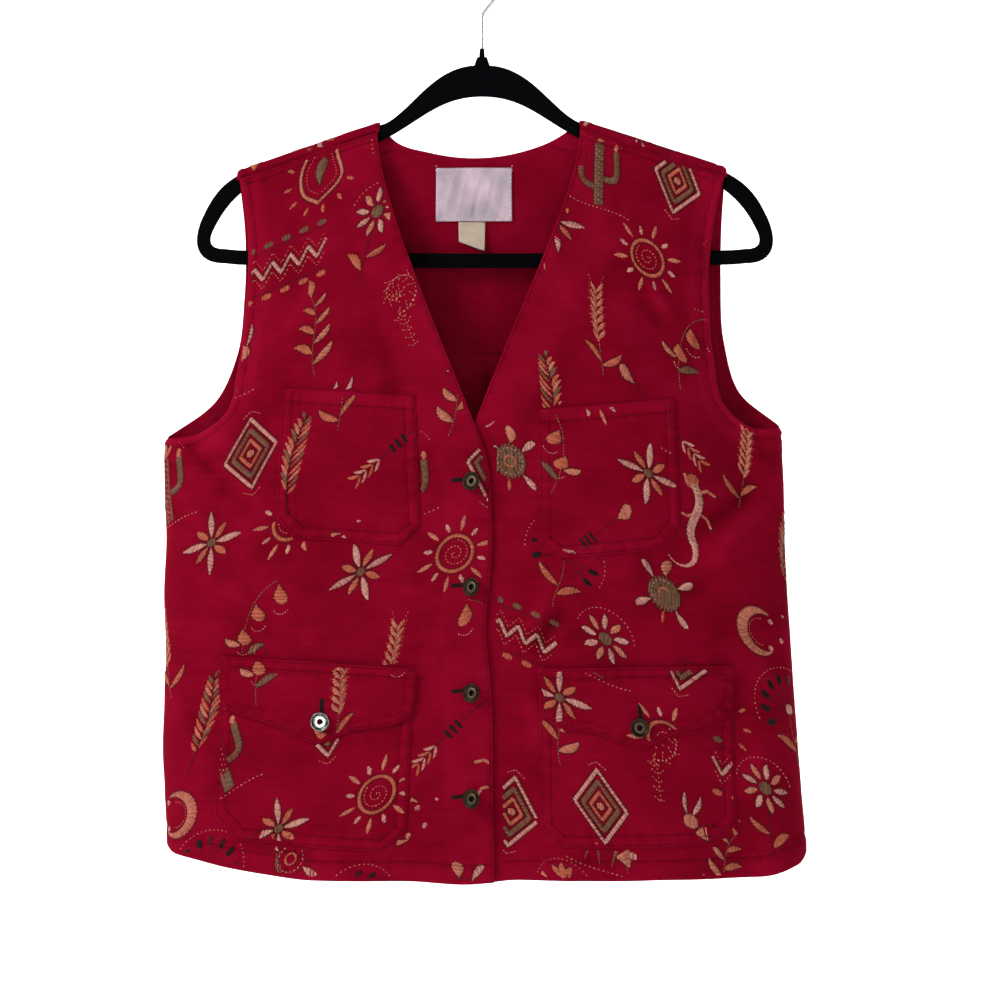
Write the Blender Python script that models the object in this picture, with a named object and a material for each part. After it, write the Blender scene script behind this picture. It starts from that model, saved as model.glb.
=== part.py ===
# A button-front western vest in red cotton twill, hanging on a flocked hanger.
#
# Frame: metres, +Z up. The origin is the bearing point inside the top of the hanger's hook.
# -Y is the front of the vest and +X is the wearer's left. Sizes below are in millimetres.
#
# The vest is cut as flat cloth would be: every panel is an outline on one draped form. The form
# takes a point of the cloth by its girth (measured round the body from the centre line) and its
# drop (measured over the shoulder ridge and down), and gives its place in space.

from math import cos, pi, radians, sin

import bpy
import numpy as np
from mathutils import Vector
from mathutils.geometry import delaunay_2d_cdt

MM = 0.001

# Cloth
CLOTH = 1.6  # a front or back wall, which is a shell and its facing
POCKET_CLOTH = 1.2
FACING_CLOTH = 0.8
LABEL_CLOTH = 0.5
GAP = 0.3  # between pieces at seams and between layers
LAP = 2.3  # how far the under front is pushed in where the upper front lies on it

# Form
RIDGE = 4.8  # outer radius of the cloth where it turns over the hanger's arm
RIDGE_TURNS = (10.5, 7.6, 5.0, 2.5, 0.0, -2.5, -5.0, -7.6)  # lines that it folds along
SHOULDER_SEAM = 11.0  # the shoulder seam lies this far forward of the ridge
CREST = -108.8  # the ridge line, if it ran on to the middle of the neck
CREST_SLOPE = 0.345
CREST_SOFT = 30.0
CREST_TILT = 0.006
SIDE_ROUND = 1.3  # how flat the body stays before it rounds to the side seam
FRONT, BACK = -1, 1

# A row for each height: half the body's width to the wearer's right and left.
# Above the underarm the rows carry on the body's side, which the armholes cut away.
WIDTH_ROWS = [
    # height, right, left
    (-720, 241.0, 251.5),
    (-690, 243.0, 250.6),
    (-650, 244.5, 247.0),
    (-612, 246.3, 244.3),
    (-573, 245.0, 241.3),
    (-530, 244.0, 238.2),
    (-495, 245.4, 236.0),
    (-450, 243.6, 233.8),
    (-395, 245.2, 232.4),
    (-370, 243.0, 230.6),
    (-330, 238.0, 228.0),
    (-270, 229.0, 222.0),
    (-200, 220.0, 217.0),
    (-100, 212.0, 212.0),
]

# A row for each distance below the ridge: how far the front and the back stand out.
DEPTH_ROWS = [
    # below, front, back
    (0, 0.0, 0.0),
    (25, 1.6, 0.6),
    (60, 7.5, 3.8),
    (120, 17.5, 9.5),
    (200, 28.5, 16.0),
    (300, 37.0, 21.5),
    (420, 41.5, 25.0),
    (620, 43.5, 27.5),
]

# A row for each soft fold: its two ends, its half width, and how far it stands out (below 0, in).
FRONT_FOLDS = [
    # x, z, to x, to z, half width, height
    (-205, -215, -206, -320, 15, -3.5),
    (-206, -345, -238, -400, 15, -6.5),
    (-185, -392, -150, -470, 26, 2.6),
    (168, -175, 176, -300, 12, -3.2),
    (176, -300, 203, -400, 20, -8.0),
    (150, -395, 60, -478, 22, 3.4),
    (206, -430, 120, -490, 18, -4.2),
    (36, -536, 84, -494, 12, -3.0),
    (40, -505, 60, -480, 16, 2.6),
    (-120, -560, -105, -700, 30, 2.6),
    (-205, -520, -200, -700, 22, 3.2),
    (-160, -640, -158, -706, 20, -2.4),
    (120, -575, 112, -706, 32, 2.8),
    (185, -560, 200, -700, 20, -3.0),
    (222, -600, 228, -700, 16, 2.6),
    (40, -620, 34, -706, 22, -2.6),
    (-45, -600, -40, -706, 26, 2.0),
    (-120, -215, -100, -330, 26, 2.2),
    (110, -215, 96, -330, 26, 2.4),
]
BACK_FOLDS = [
    (-110, -250, -120, -690, 34, 4.0),
    (110, -260, 124, -690, 34, 4.4),
    (0, -330, 6, -700, 40, -3.6),
    (-190, -430, -200, -700, 24, -3.4),
    (188, -420, 204, -700, 24, -3.8),
    (-205, -320, -225, -390, 16, -3.0),
    (205, -320, 222, -390, 16, -3.2),
    (60, -520, 66, -705, 20, 2.6),
    (-62, -540, -60, -705, 20, 2.4),
]

# Edges of the cut pieces, seen from the front, as (x, z). The necks of the fronts are cubic curves
# with four control points, and the armholes and the back's neck run through theirs.
RIGHT_NECK = [(-80.5, -136), (-79, -190), (-34, -288), (2, -381)]
RIGHT_EDGE_ROWS = [
    # height, x of the upper front's edge
    (-381, 2.0),
    (-389, 4.2),
    (-428, 7.5),
    (-461, 7.5),
    (-490, 5.3),
    (-514, 3.2),
    (-539, 5.3),
    (-567, 7.5),
    (-637, 8.6),
    (-704, 9.6),
]
LEFT_NECK = [(75.5, -134), (76, -180), (28, -272), (-8, -369)]
LEFT_EDGE_X = -21.5
RIGHT_ARMHOLE = [
    (-187, -172),
    (-179.6, -222),
    (-180.4, -270),
    (-186, -320),
    (-195.4, -354),
    (-218, -370),
    (-243, -373),
]
LEFT_ARMHOLE = [
    (187, -170),
    (177.6, -212),
    (174.2, -258),
    (177.4, -308),
    (186.5, -349),
    (208, -365),
    (231, -365),
]
RIGHT_BACK_ARMHOLE = [(-188.6, -166), (-183.6, -218), (-185, -265), (-191, -308), (-206, -342), (-243, -371)]
LEFT_BACK_ARMHOLE = [(188.6, -164), (185.8, -205), (185.4, -245), (188.5, -298), (200, -336), (231, -363)]
BACK_NECK = [(-79, -130), (-66, -143), (-40, -151), (-8, -154.8), (24, -151.6), (54, -142), (75.5, -128)]

# Hem: its height in front and behind, and at the side seams. It starts to rise at a share of the girth.
HEM_FRONT = -705.5
HEM_BACK = -701.0
HEM_SIDE_RIGHT = -689.5
HEM_SIDE_LEFT = -696.0
HEM_RISE_RIGHT = 0.5
HEM_RISE_LEFT = 0.8
HEM_DIP = 2.5  # the upper front hangs this much lower at its edge

# Patch pockets: where the middle of the top edge lies, their size, how the cloth has pulled them
# askew (the rise of the top edge and the drift of the sides), the cut corner, and how much the foot
# is wider than the mouth.
CHEST_POCKETS = {
    # x, z, width, height, rise, drift, corner, flare
    "chest_pocket_right": (-100.5, -338.6, 101.0, 113.0, -0.062, 0.0, 15.0, 8.0),
    "chest_pocket_left": (94.7, -347.7, 103.0, 113.0, 0.088, 0.02, 15.0, 3.0),
}
LOWER_POCKETS = {
    # x, z, width, height, rise, drift, corner, flare
    "lower_pocket_right": (-122.5, -551.0, 144.0, 129.0, -0.062, -0.055, 18.0, 1.0),
    "lower_pocket_left": (116.0, -554.7, 146.0, 125.5, 0.012, 0.02, 17.0, 2.0),
}
FLAP_WIDTH = 147.0
FLAP_WING = 40.0  # how deep the flap is at its rounded corners
FLAP_POINT = 60.0  # and at its point
FLAP_TURN = 32.0  # the wing's curve ends this far in from the side
FLAP_RISE = 9.0  # the flap's seam lies this far above the pocket's mouth

# Buttons
BUTTON_RADIUS = 7.3
BUTTON_HEIGHT = 3.2
BUTTON_STAND = 0.55  # above the cloth, which curves a little below it
BUTTON_TURNS = 16
BUTTON_PROFILE = [
    # radius, height, as shares of the button's own
    (0.0, 0.42),
    (0.22, 0.36),
    (0.34, 0.62),
    (0.56, 0.70),
    (0.80, 1.0),
    (0.95, 0.86),
    (1.0, 0.50),
    (0.86, 0.22),
    (0.42, 0.0),
    (0.0, 0.0),
]
BUTTON_X = -6.8
BUTTON_TOP_Z = -406.5
BUTTON_PITCH = 79.0
FRONT_BUTTONS = 4
FLAP_BUTTONS = {"right": (-120.0, -585.5), "left": (117.5, -590.5)}

# Back facing, which shows inside the neck, and the two labels sewn to it
FACING_FLOOR = -306.0
FACING_REACH = 138.0
FACING_TURN = 66.0  # from here outwards the facing stops below the hanger's arm
FACING_BELOW_ARM = 26.0
FACING_STEP = 2.5  # how far its neck edge lies below the back's
LABEL = (-6.2, -162.5, 59.0, 41.0)  # middle of the top edge, width, height
CARE_LABEL = (-8.0, -204.0, 20.5, 21.0)
CARE_SLANT = 7.0
CARE_CURL = 4.0

# Hanger: a flat moulded frame, its collar and its wire hook
HANGER_THICK = 5.4
HANGER_EDGE = 1.5
HANGER_END = 223.3  # half the hanger's length
HANGER_SHIFT = 2.3  # the hook stands this far from the middle, towards the wearer's right
ARM_PLAY = 1.1  # between the arm's top and the cloth
ARM_SPAN = (74.0, 166.0)  # the arms are straight between these
ARM_UNDERSIDE = [(79.0, 12.6), (163.0, 10.4)]  # how deep the arm is at two places
BAR_TOP = -226.2
BAR_DEPTH = 11.2
BAR_SAG = 3.6
# Control points of the arch's two curves, which end on the arms
ARCH_TOP = [(6.0, -84.6), (38.0, -86.6), (53.0, -117.6)]
ARCH_UNDERSIDE = [(0.0, -108.6), (34.0, -108.6), (48.0, -128.5)]
# Control points of the rounded ends, which start on the arms: in from the end, height
END_BEND = [(23.3, -170.0), (14.3, -182.0), (4.3, -204.0)]
END_TIP = [(4.3, -204.0), (-2.7, -221.0), (-0.7, BAR_TOP - BAR_DEPTH), (22.0, BAR_TOP - BAR_DEPTH)]
HOLLOW_BEND = [(37.3, -177.0), (23.3, -192.0), (15.3, -208.0)]
HOLLOW_TIP = [(15.3, -208.0), (8.3, -220.0), (10.3, BAR_TOP), (22.0, BAR_TOP)]
NECK_TOP = -78.2
NECK_HALF = 3.8
COLLAR_TOP = -71.4
COLLAR_RADIUS = 1.9
COLLAR_TURNS = 12
WIRE_RADIUS = 1.3
HOOK_RADIUS = 18.0
HOOK_BEND_DEG = 38.7
HOOK_ELBOW = 4.0
HOOK_END_DEG = 197.0
HOOK_STEP_DEG = 11.5

FRONT_STEP = 18.0  # about how far apart the points of the fronts lie
BACK_STEP = 21.0
RIDGE_STEP = 16.0
EDGE_STEP = 13.5


def eased(at, knots, values):
    """A smooth curve through a table's rows, whose slope at each row comes from its neighbours."""
    knots, values = np.array(knots, float), np.array(values, float)
    slopes = np.gradient(values, knots)
    at = np.clip(at, knots[0], knots[-1])
    i = np.clip(np.searchsorted(knots, at) - 1, 0, len(knots) - 2)
    span = knots[i + 1] - knots[i]
    t = (at - knots[i]) / span
    start = (1 + 2 * t) * (1 - t) ** 2 * values[i] + t * (1 - t) ** 2 * span * slopes[i]
    return start + t**2 * (3 - 2 * t) * values[i + 1] - t**2 * (1 - t) * span * slopes[i + 1]


def column(rows, index):
    return [row[index] for row in rows]


def ramp(at, low, high):
    """0 below low, 1 above high and smooth between."""
    t = np.clip((at - low) / (high - low), 0, 1)
    return t * t * (3 - 2 * t)


# The draped form

def crest(x):
    """Height of the ridge line over the shoulders."""
    return CREST - CREST_SLOPE * (np.hypot(x, CREST_SOFT) - CREST_SOFT) + CREST_TILT * x


def half_width(z, side):
    """Half the body's width at a height, on the side that the sign of side names."""
    heights = column(WIDTH_ROWS, 0)
    right = eased(z, heights, column(WIDTH_ROWS, 1))
    left = eased(z, heights, column(WIDTH_ROWS, 2))
    return np.where(np.asarray(side) < 0, right, left)


def girth_table():
    """Angle round the body against girth, on a section of middling size."""
    width, depth = 240.0, RIDGE + 38.0
    angles = np.linspace(0, pi / 2, 181)
    out = depth * (1 - (1 - np.cos(angles)) ** SIDE_ROUND)
    steps = np.hypot(np.diff(width * np.sin(angles)), np.diff(out))
    return angles, np.concatenate([[0], np.cumsum(steps)])


ANGLES, GIRTHS = girth_table()
SIDE_GIRTH = GIRTHS[-1]


def angle_of(girth):
    return np.sign(girth) * np.interp(np.abs(girth), GIRTHS, ANGLES)


def girth_of(angle):
    return np.sign(angle) * np.interp(np.abs(angle), ANGLES, GIRTHS)


def fold_height(x, z, rows):
    total = np.zeros_like(x)
    for x0, z0, x1, z1, half, height in rows:
        along = ((x - x0) * (x1 - x0) + (z - z0) * (z1 - z0)) / ((x1 - x0) ** 2 + (z1 - z0) ** 2)
        along = np.clip(along, 0, 1)
        away = np.hypot(x - x0 - along * (x1 - x0), z - z0 - along * (z1 - z0))
        total += height * np.exp(-((away / half) ** 2))
    return total


def form(girth, drop, face):
    """Places in space, as rows of x, y, z, for points of the cloth's outer side."""
    angle = angle_of(girth)
    run = np.abs(drop)
    over = np.minimum(run / RIDGE, pi / 2)
    below = RIDGE * (1 - np.cos(over)) + np.maximum(run - RIDGE * pi / 2, 0)
    x = 200 * np.sin(angle)
    for _ in range(8):
        z = crest(x) - below
        x = half_width(z, angle) * np.sin(angle)
    side = 1 - np.cos(angle)
    out = RIDGE * np.sin(over) * (1 - side**6)
    out = out + eased(below, column(DEPTH_ROWS, 0), column(DEPTH_ROWS, 1 if face == FRONT else 2)) * (
        1 - side**SIDE_ROUND
    )
    rows = FRONT_FOLDS if face == FRONT else BACK_FOLDS
    out = out + fold_height(x, z, rows) * (1 - side**4) * ramp(below, 12, 60)
    return np.stack([x, face * np.where(drop < 0, -1, 1) * out, z], axis=-1)


def outward(girth, drop, face):
    """Unit normals of the form, pointing away from the body."""
    step = 0.4
    across = form(girth + step, drop, face) - form(girth - step, drop, face)
    down = form(girth, drop + step, face) - form(girth, drop - step, face)
    normal = face * np.cross(across, down)
    return normal / np.linalg.norm(normal, axis=-1, keepdims=True)


def paper(points):
    """Girth and drop of points that are given as seen from the front."""
    x, z = np.array(points, float).T
    angle = np.arcsin(np.clip(x / half_width(z, x), -1, 1))
    below = crest(x) - z
    near = RIDGE * np.arccos(1 - np.clip(below, 0, RIDGE) / RIDGE)
    drop = np.where(below < RIDGE, near, below - RIDGE + RIDGE * pi / 2)
    return np.stack([girth_of(angle), drop], axis=-1)


# Outlines on the flat cloth

def bezier(points, step=EDGE_STEP):
    """Points along a cubic curve, about step apart."""
    p = np.array(points, float)
    count = max(3, round(np.linalg.norm(np.diff(p, axis=0), axis=1).sum() / step) + 1)
    t = np.linspace(0, 1, count)[:, None]
    return (1 - t) ** 3 * p[0] + 3 * t * (1 - t) ** 2 * p[1] + 3 * t**2 * (1 - t) * p[2] + t**3 * p[3]


def through(points, step=EDGE_STEP):
    """Points along a smooth curve through the given ones."""
    p = np.array(points, float)
    along = np.concatenate([[0], np.cumsum(np.linalg.norm(np.diff(p, axis=0), axis=1))])
    at = np.linspace(0, along[-1], max(3, round(along[-1] / step) + 1))
    return np.stack([eased(at, along, p[:, 0]), eased(at, along, p[:, 1])], axis=-1)


def line(start, end, step=EDGE_STEP):
    start, end = np.array(start, float), np.array(end, float)
    count = max(2, round(np.linalg.norm(end - start) / step) + 1)
    return start + np.linspace(0, 1, count)[:, None] * (end - start)


def joined(*runs):
    """One closed outline from runs of points, without the points that two runs share."""
    points = np.concatenate(runs)
    keep = np.linalg.norm(points - np.roll(points, 1, axis=0), axis=1) > 0.5
    return points[keep]


def hem(girth, face):
    """Drop of the hem at each girth."""
    share = np.abs(girth) / SIDE_GIRTH
    level = HEM_FRONT if face == FRONT else HEM_BACK
    side_level = np.where(girth < 0, HEM_SIDE_RIGHT, HEM_SIDE_LEFT)
    z = level + (side_level - level) * ramp(share, np.where(girth < 0, HEM_RISE_RIGHT, HEM_RISE_LEFT), 1.0)
    if face == FRONT:
        z = z - HEM_DIP * ramp(-np.abs(girth + 12) / 40, -1, 0)
    x = half_width(z, girth) * np.sin(angle_of(girth))
    return crest(x) - z - RIDGE + RIDGE * pi / 2


def hem_run(start, end, face):
    girths = np.linspace(start, end, max(3, round(abs(end - start) / EDGE_STEP) + 1))
    return np.stack([girths, hem(girths, face)], axis=-1)


def shoulder_ends(sign):
    """Girth of the shoulder's neck end and of its tip, on the ridge."""
    if sign < 0:
        return paper([BACK_NECK[0]])[0, 0], paper([RIGHT_BACK_ARMHOLE[0]])[0, 0]
    return paper([BACK_NECK[-1]])[0, 0], paper([LEFT_BACK_ARMHOLE[0]])[0, 0]


def over_ridge(girth, start):
    """The short edge that goes over the ridge at one girth, down to the shoulder seam."""
    drops = np.array([start, *RIDGE_TURNS, -SHOULDER_SEAM])
    return np.stack([np.full(len(drops), girth), drops], axis=-1)


SIDE_EDGE = SIDE_GIRTH - 0.3


def side_run(start, end):
    return line(start, end, EDGE_STEP * 1.1)


def front_outline(neck, edge, armhole, sign):
    """A front, from its shoulder seam's neck end round by the armhole, side seam, hem and edge."""
    seam_drop = SHOULDER_SEAM + GAP
    arm = paper(through(armhole))
    arm = arm[arm[:, 1] > seam_drop + 2]
    neck_run = paper(bezier(neck))
    neck_run = neck_run[neck_run[:, 1] > seam_drop + 2]
    neck_end = np.array([neck_run[0, 0], seam_drop])
    tip = np.array([arm[0, 0] + sign * 1.0, seam_drop])
    arm[-1] = (sign * SIDE_EDGE, arm[-1, 1])
    side_foot = (sign * SIDE_EDGE, float(hem(np.array(sign * SIDE_EDGE), FRONT)))
    edge_run = paper(edge)
    edge_foot = edge_run[-1, 0]
    return joined(
        line(neck_end, tip),
        arm,
        side_run(arm[-1], side_foot),
        hem_run(sign * SIDE_EDGE, edge_foot, FRONT),
        edge_run[::-1][1:],
        neck_run[::-1],
    )


def right_front_edge():
    heights, xs = column(RIGHT_EDGE_ROWS, 0)[::-1], column(RIGHT_EDGE_ROWS, 1)[::-1]
    z = np.linspace(RIGHT_EDGE_ROWS[0][0], RIGHT_EDGE_ROWS[-1][0], 27)
    return np.stack([eased(z, heights, xs), z], axis=-1)


def left_front_edge():
    turn = bezier([LEFT_NECK[-1], (-16, -380), (LEFT_EDGE_X, -386), (LEFT_EDGE_X, -405)], 7)
    fall = line((LEFT_EDGE_X, -405), (LEFT_EDGE_X + 2, HEM_FRONT))
    return np.concatenate([turn, fall[1:]])


def back_outline():
    """The back: up the left armhole, over the ridge to the shoulder seams, and round the neck."""
    left_arm = paper(through(LEFT_BACK_ARMHOLE))[1:]
    right_arm = paper(through(RIGHT_BACK_ARMHOLE))[1:]
    left_arm[-1, 0], right_arm[-1, 0] = SIDE_EDGE, -SIDE_EDGE
    neck = paper(through(BACK_NECK))[1:-1]
    left_neck, left_tip = shoulder_ends(1)
    right_neck, right_tip = shoulder_ends(-1)
    seam = -SHOULDER_SEAM
    return joined(
        hem_run(-SIDE_EDGE, SIDE_EDGE, BACK),
        side_run((SIDE_EDGE, float(hem(np.array(SIDE_EDGE), BACK))), left_arm[-1]),
        left_arm[::-1],
        over_ridge(left_tip, left_arm[0, 1]),
        line((left_tip, seam), (left_neck, seam)),
        over_ridge(left_neck, neck[-1, 1])[::-1],
        neck[::-1],
        over_ridge(right_neck, neck[0, 1]),
        line((right_neck, seam), (right_tip, seam)),
        over_ridge(right_tip, right_arm[0, 1])[::-1],
        right_arm,
        side_run(right_arm[-1], (-SIDE_EDGE, float(hem(np.array(-SIDE_EDGE), BACK)))),
    )


def askew(points, middle, rise, drift):
    """Points set about a middle, lifted towards +X by rise and moved along X by drift as they go down."""
    points = np.array(points, float)
    return points + middle + np.stack([-drift * points[:, 1], rise * points[:, 0]], axis=-1)


def pocket_outline(x, z, width, height, rise, drift, corner, flare):
    """A patch pocket with its two lower corners cut off."""
    mouth, foot = width / 2, (width + flare) / 2
    corners = [
        (-mouth, 0),
        (mouth, 0),
        (foot, -height + corner),
        (foot - corner, -height),
        (-foot + corner, -height),
        (-foot, -height + corner),
    ]
    runs = [line(a, b) for a, b in zip(corners, corners[1:] + corners[:1])]
    return paper(askew(joined(*runs), (x, z), rise, drift))


def flap_outline(x, z, rise, drift):
    """A flap with rounded wings that dip to a point in the middle."""
    half, wing, point = FLAP_WIDTH / 2, FLAP_WING, FLAP_POINT
    turn = (-half + FLAP_TURN, -wing - 6)
    wing_edge = bezier([(-half, -wing * 0.55), (-half + 1, -wing), (-half + 12, -wing - 3), turn], 7)
    dip = bezier([turn, (-half + 50, -wing - 9), (-12, -point + 2), (0, -point)], 8)
    half_edge = np.concatenate([[(-half, 0)], [(-half, -wing * 0.28)], wing_edge, dip[1:]])
    other = half_edge[::-1][1:] * (-1, 1)
    top = line((half, 0), (-half, 0))[1:-1]
    return paper(askew(np.concatenate([half_edge, other, top]), (x, z + FLAP_RISE), rise, drift))


def rectangle(x, z, width, height, slant=0.0, step=EDGE_STEP):
    half = width / 2
    corners = [(x - half, z), (x + half, z), (x + half, z - height - slant), (x - half, z - height)]
    runs = [line(a, b, step) for a, b in zip(corners, corners[1:] + corners[:1])]
    return paper(joined(*runs))


def facing_outline():
    """The back facing: the neck's curve, the slope below the hanger's arms, and a straight foot."""
    neck = through(BACK_NECK)
    neck = neck[np.abs(neck[:, 0]) < FACING_TURN - 12] - (0, FACING_STEP)
    left = [(x, float(crest(x)) - FACING_BELOW_ARM) for x in np.linspace(FACING_TURN, FACING_REACH, 6)]
    right = [(-x, float(crest(-x)) - FACING_BELOW_ARM) for x in np.linspace(FACING_REACH, FACING_TURN, 6)]
    foot = line((FACING_REACH, FACING_FLOOR), (-FACING_REACH, FACING_FLOOR))
    sides = line(left[-1], foot[0])[1:-1], line(foot[-1], right[0])[1:-1]
    return paper(joined(np.array(left), sides[0], foot, sides[1], np.array(right), neck))


# Solids

def inside(points, outline):
    """Which points lie within a closed outline."""
    x, y = points.T
    found = np.zeros(len(points), bool)
    for (x0, y0), (x1, y1) in zip(outline, np.roll(outline, -1, axis=0)):
        crosses = (y0 > y) != (y1 > y)
        reach = (x1 - x0) * (y - y0) / np.where(y1 == y0, 1, y1 - y0) + x0
        found ^= crosses & (x < reach)
    return found


def clearance(points, outline):
    """How far each point is from an outline."""
    nearest = np.full(len(points), np.inf)
    for start, end in zip(outline, np.roll(outline, -1, axis=0)):
        run = end - start
        t = np.clip((points - start) @ run / (run @ run), 0, 1)
        nearest = np.minimum(nearest, np.linalg.norm(points - start - t[:, None] * run, axis=1))
    return nearest


def cut(outline, step, sewn_on=(), folded=()):
    """A panel's flat points and triangles.

    The outlines of what is sewn on it are among its edges, and so are the lines that it folds along.
    """
    loops = [outline, *sewn_on]
    low, high = outline.min(axis=0), outline.max(axis=0)
    rows = np.arange(low[1], high[1], step * 0.87)
    grid = [
        (g + (step / 2 if i % 2 else 0), d)
        for i, d in enumerate(rows)
        for g in np.arange(low[0], high[0], step)
    ]
    grid = np.array(grid)
    clear = inside(grid, outline) & (clearance(grid, outline) > step * 0.5)
    for loop in sewn_on:
        clear &= clearance(grid, loop) > step * 0.42
    grid = grid[clear]
    if len(folded):
        grid = grid[np.abs(grid[:, 1]) > RIDGE_TURNS[0] + step * 0.4]
    points = np.concatenate([*loops, *folded, grid])
    edges, first = [], 0
    for loop in loops:
        count = len(loop)
        edges += [(first + i, first + (i + 1) % count) for i in range(count)]
        first += count
    for run in folded:
        edges += [(first + i, first + i + 1) for i in range(len(run) - 1)]
        first += len(run)
    flat, _, triangles, *_ = delaunay_2d_cdt([Vector(p) for p in points], edges, [], 0, 1e-4)
    flat = np.array([tuple(p) for p in flat])
    triangles = np.array(triangles)
    kept = inside(flat[triangles].mean(axis=1), outline)
    return flat, triangles[kept]


def part_of(flat, triangles, outline):
    """The stretch of a panel's triangles that lies within an outline, with its own points."""
    kept = triangles[inside(flat[triangles].mean(axis=1), outline)]
    used, numbered = np.unique(kept, return_inverse=True)
    return flat[used], numbered.reshape(-1, 3)


def wall(name, flat, triangles, face, low, high, cloth):
    """A closed solid between two heights above the form. Each may be a number or one for each point."""
    places, normals = form(*flat.T, face), outward(*flat.T, face)
    low, high = np.broadcast_to(low, len(flat)), np.broadcast_to(high, len(flat))
    points = np.concatenate([places + normals * high[:, None], places + normals * low[:, None]]) * MM
    a, b, c = flat[triangles].transpose(1, 0, 2)
    turn = (b[:, 0] - a[:, 0]) * (c[:, 1] - a[:, 1]) - (b[:, 1] - a[:, 1]) * (c[:, 0] - a[:, 0])
    wrong = turn * face < 0
    triangles = triangles.copy()
    triangles[wrong] = triangles[wrong][:, ::-1]
    sides = np.concatenate([triangles[:, [0, 1]], triangles[:, [1, 2]], triangles[:, [2, 0]]])
    known = {tuple(side) for side in sides.tolist()}
    rim = [side for side in known if side[::-1] not in known]
    count = len(flat)
    faces = [tuple(t) for t in triangles.tolist()]
    faces += [(c + count, b + count, a + count) for a, b, c in triangles.tolist()]
    faces += [(b, a, a + count, b + count) for a, b in rim]
    mesh = bpy.data.meshes.new(name)
    mesh.from_pydata(points.tolist(), [], faces)
    return add(name, mesh, cloth)


def add(name, data, finish):
    """An object in the scene with its finish, shaded smooth away from its corners."""
    obj = bpy.data.objects.new(name, data)
    bpy.context.scene.collection.objects.link(obj)
    data.materials.append(finish)
    if obj.type == "MESH":
        data.update()
        data.shade_smooth()
        data.set_sharp_from_angle(angle=radians(40))
    return obj


def material(name, colour, roughness, metallic=0.0):
    made = bpy.data.materials.new(name)
    made.use_nodes = True
    surface = made.node_tree.nodes["Principled BSDF"]
    surface.inputs["Base Color"].default_value = (*colour, 1)
    surface.inputs["Roughness"].default_value = roughness
    surface.inputs["Metallic"].default_value = metallic
    return made


def flush(flat):
    """The upper front lies on the form itself."""
    return np.zeros(len(flat))


def under_lap(flat):
    """How far the under front is pushed in: all of LAP below the upper front, and none well clear of it."""
    x, z = form(*flat.T, FRONT)[:, [0, 2]].T
    neck = bezier(RIGHT_NECK, 4)[::-1]
    edge_heights = np.concatenate([column(RIGHT_EDGE_ROWS, 0)[::-1], neck[1:, 1]])
    edge_xs = np.concatenate([column(RIGHT_EDGE_ROWS, 1)[::-1], neck[1:, 0]])
    past_edge = x - np.interp(z, edge_heights, edge_xs)
    return LAP * (1 - ramp(past_edge, 5, 34))


# The pieces

def front(name, outline, pockets, cloth, pushed_in):
    """A front with its chest pocket, its lower pocket and that pocket's flap."""
    chest, lower = pockets
    chest_loop = pocket_outline(*CHEST_POCKETS[chest])
    lower_row = LOWER_POCKETS[lower]
    lower_loop = pocket_outline(*lower_row)
    flap_loop = flap_outline(lower_row[0], lower_row[1], lower_row[4], lower_row[5])
    flat, triangles = cut(outline, FRONT_STEP, (chest_loop, lower_loop, flap_loop))
    push = pushed_in(flat)
    wall(name, flat, triangles, FRONT, -push - CLOTH, -push, cloth)
    layers = (
        (chest, chest_loop, GAP, POCKET_CLOTH),
        (lower, lower_loop, GAP, POCKET_CLOTH),
        (lower.replace("lower_pocket", "flap"), flap_loop, 2 * GAP + POCKET_CLOTH, POCKET_CLOTH),
    )
    for piece, loop, lift, thick in layers:
        spot, spot_triangles = part_of(flat, triangles, loop)
        lifted = lift - pushed_in(spot)
        wall(piece, spot, spot_triangles, FRONT, lifted, lifted + thick, cloth)


def back_and_facing(cloth, satin, tape):
    """The back with its shoulders, then the facing and its labels, each a layer further in."""
    ends = shoulder_ends(-1), shoulder_ends(1)
    shoulders = [line((neck, turn), (tip, turn), RIDGE_STEP) for neck, tip in ends for turn in RIDGE_TURNS]
    facing_loop = facing_outline()
    label_loop = rectangle(*LABEL)
    care_loop = rectangle(*CARE_LABEL, slant=CARE_SLANT, step=7)
    flat, triangles = cut(back_outline(), BACK_STEP, (facing_loop, label_loop, care_loop), shoulders)
    wall("back", flat, triangles, BACK, -CLOTH, 0.0, cloth)
    top = -CLOTH - GAP
    spot, spot_triangles = part_of(flat, triangles, facing_loop)
    wall("back_facing", spot, spot_triangles, BACK, top - FACING_CLOTH, top, cloth)
    top -= FACING_CLOTH + GAP
    spot, spot_triangles = part_of(flat, triangles, label_loop)
    wall("neck_label", spot, spot_triangles, BACK, top - LABEL_CLOTH, top, satin)
    spot, spot_triangles = part_of(flat, triangles, care_loop)
    fall = (spot[:, 1] - spot[:, 1].min()) / (spot[:, 1].max() - spot[:, 1].min())
    curl = CARE_CURL * fall**2
    wall("care_label", spot, spot_triangles, BACK, top - curl - LABEL_CLOTH, top - curl, tape)


def turned(name, profile, turns, finish):
    """A closed solid turned about Z. The profile runs from the axis at the top, round to the axis again."""
    points, faces, rings = [], [], []
    for radius, height in profile:
        angles = [0.0] if radius == 0 else [2 * pi * i / turns for i in range(turns)]
        rings.append(range(len(points), len(points) + len(angles)))
        points += [(radius * cos(t) * MM, radius * sin(t) * MM, height * MM) for t in angles]
    for ring, after in zip(rings, rings[1:]):
        for i in range(turns):
            j = (i + 1) % turns
            corners = ring[i % len(ring)], after[i % len(after)], after[j % len(after)], ring[j % len(ring)]
            faces.append(tuple(dict.fromkeys(corners)))
    mesh = bpy.data.meshes.new(name)
    mesh.from_pydata(points, [], faces)
    return add(name, mesh, finish)


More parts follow.
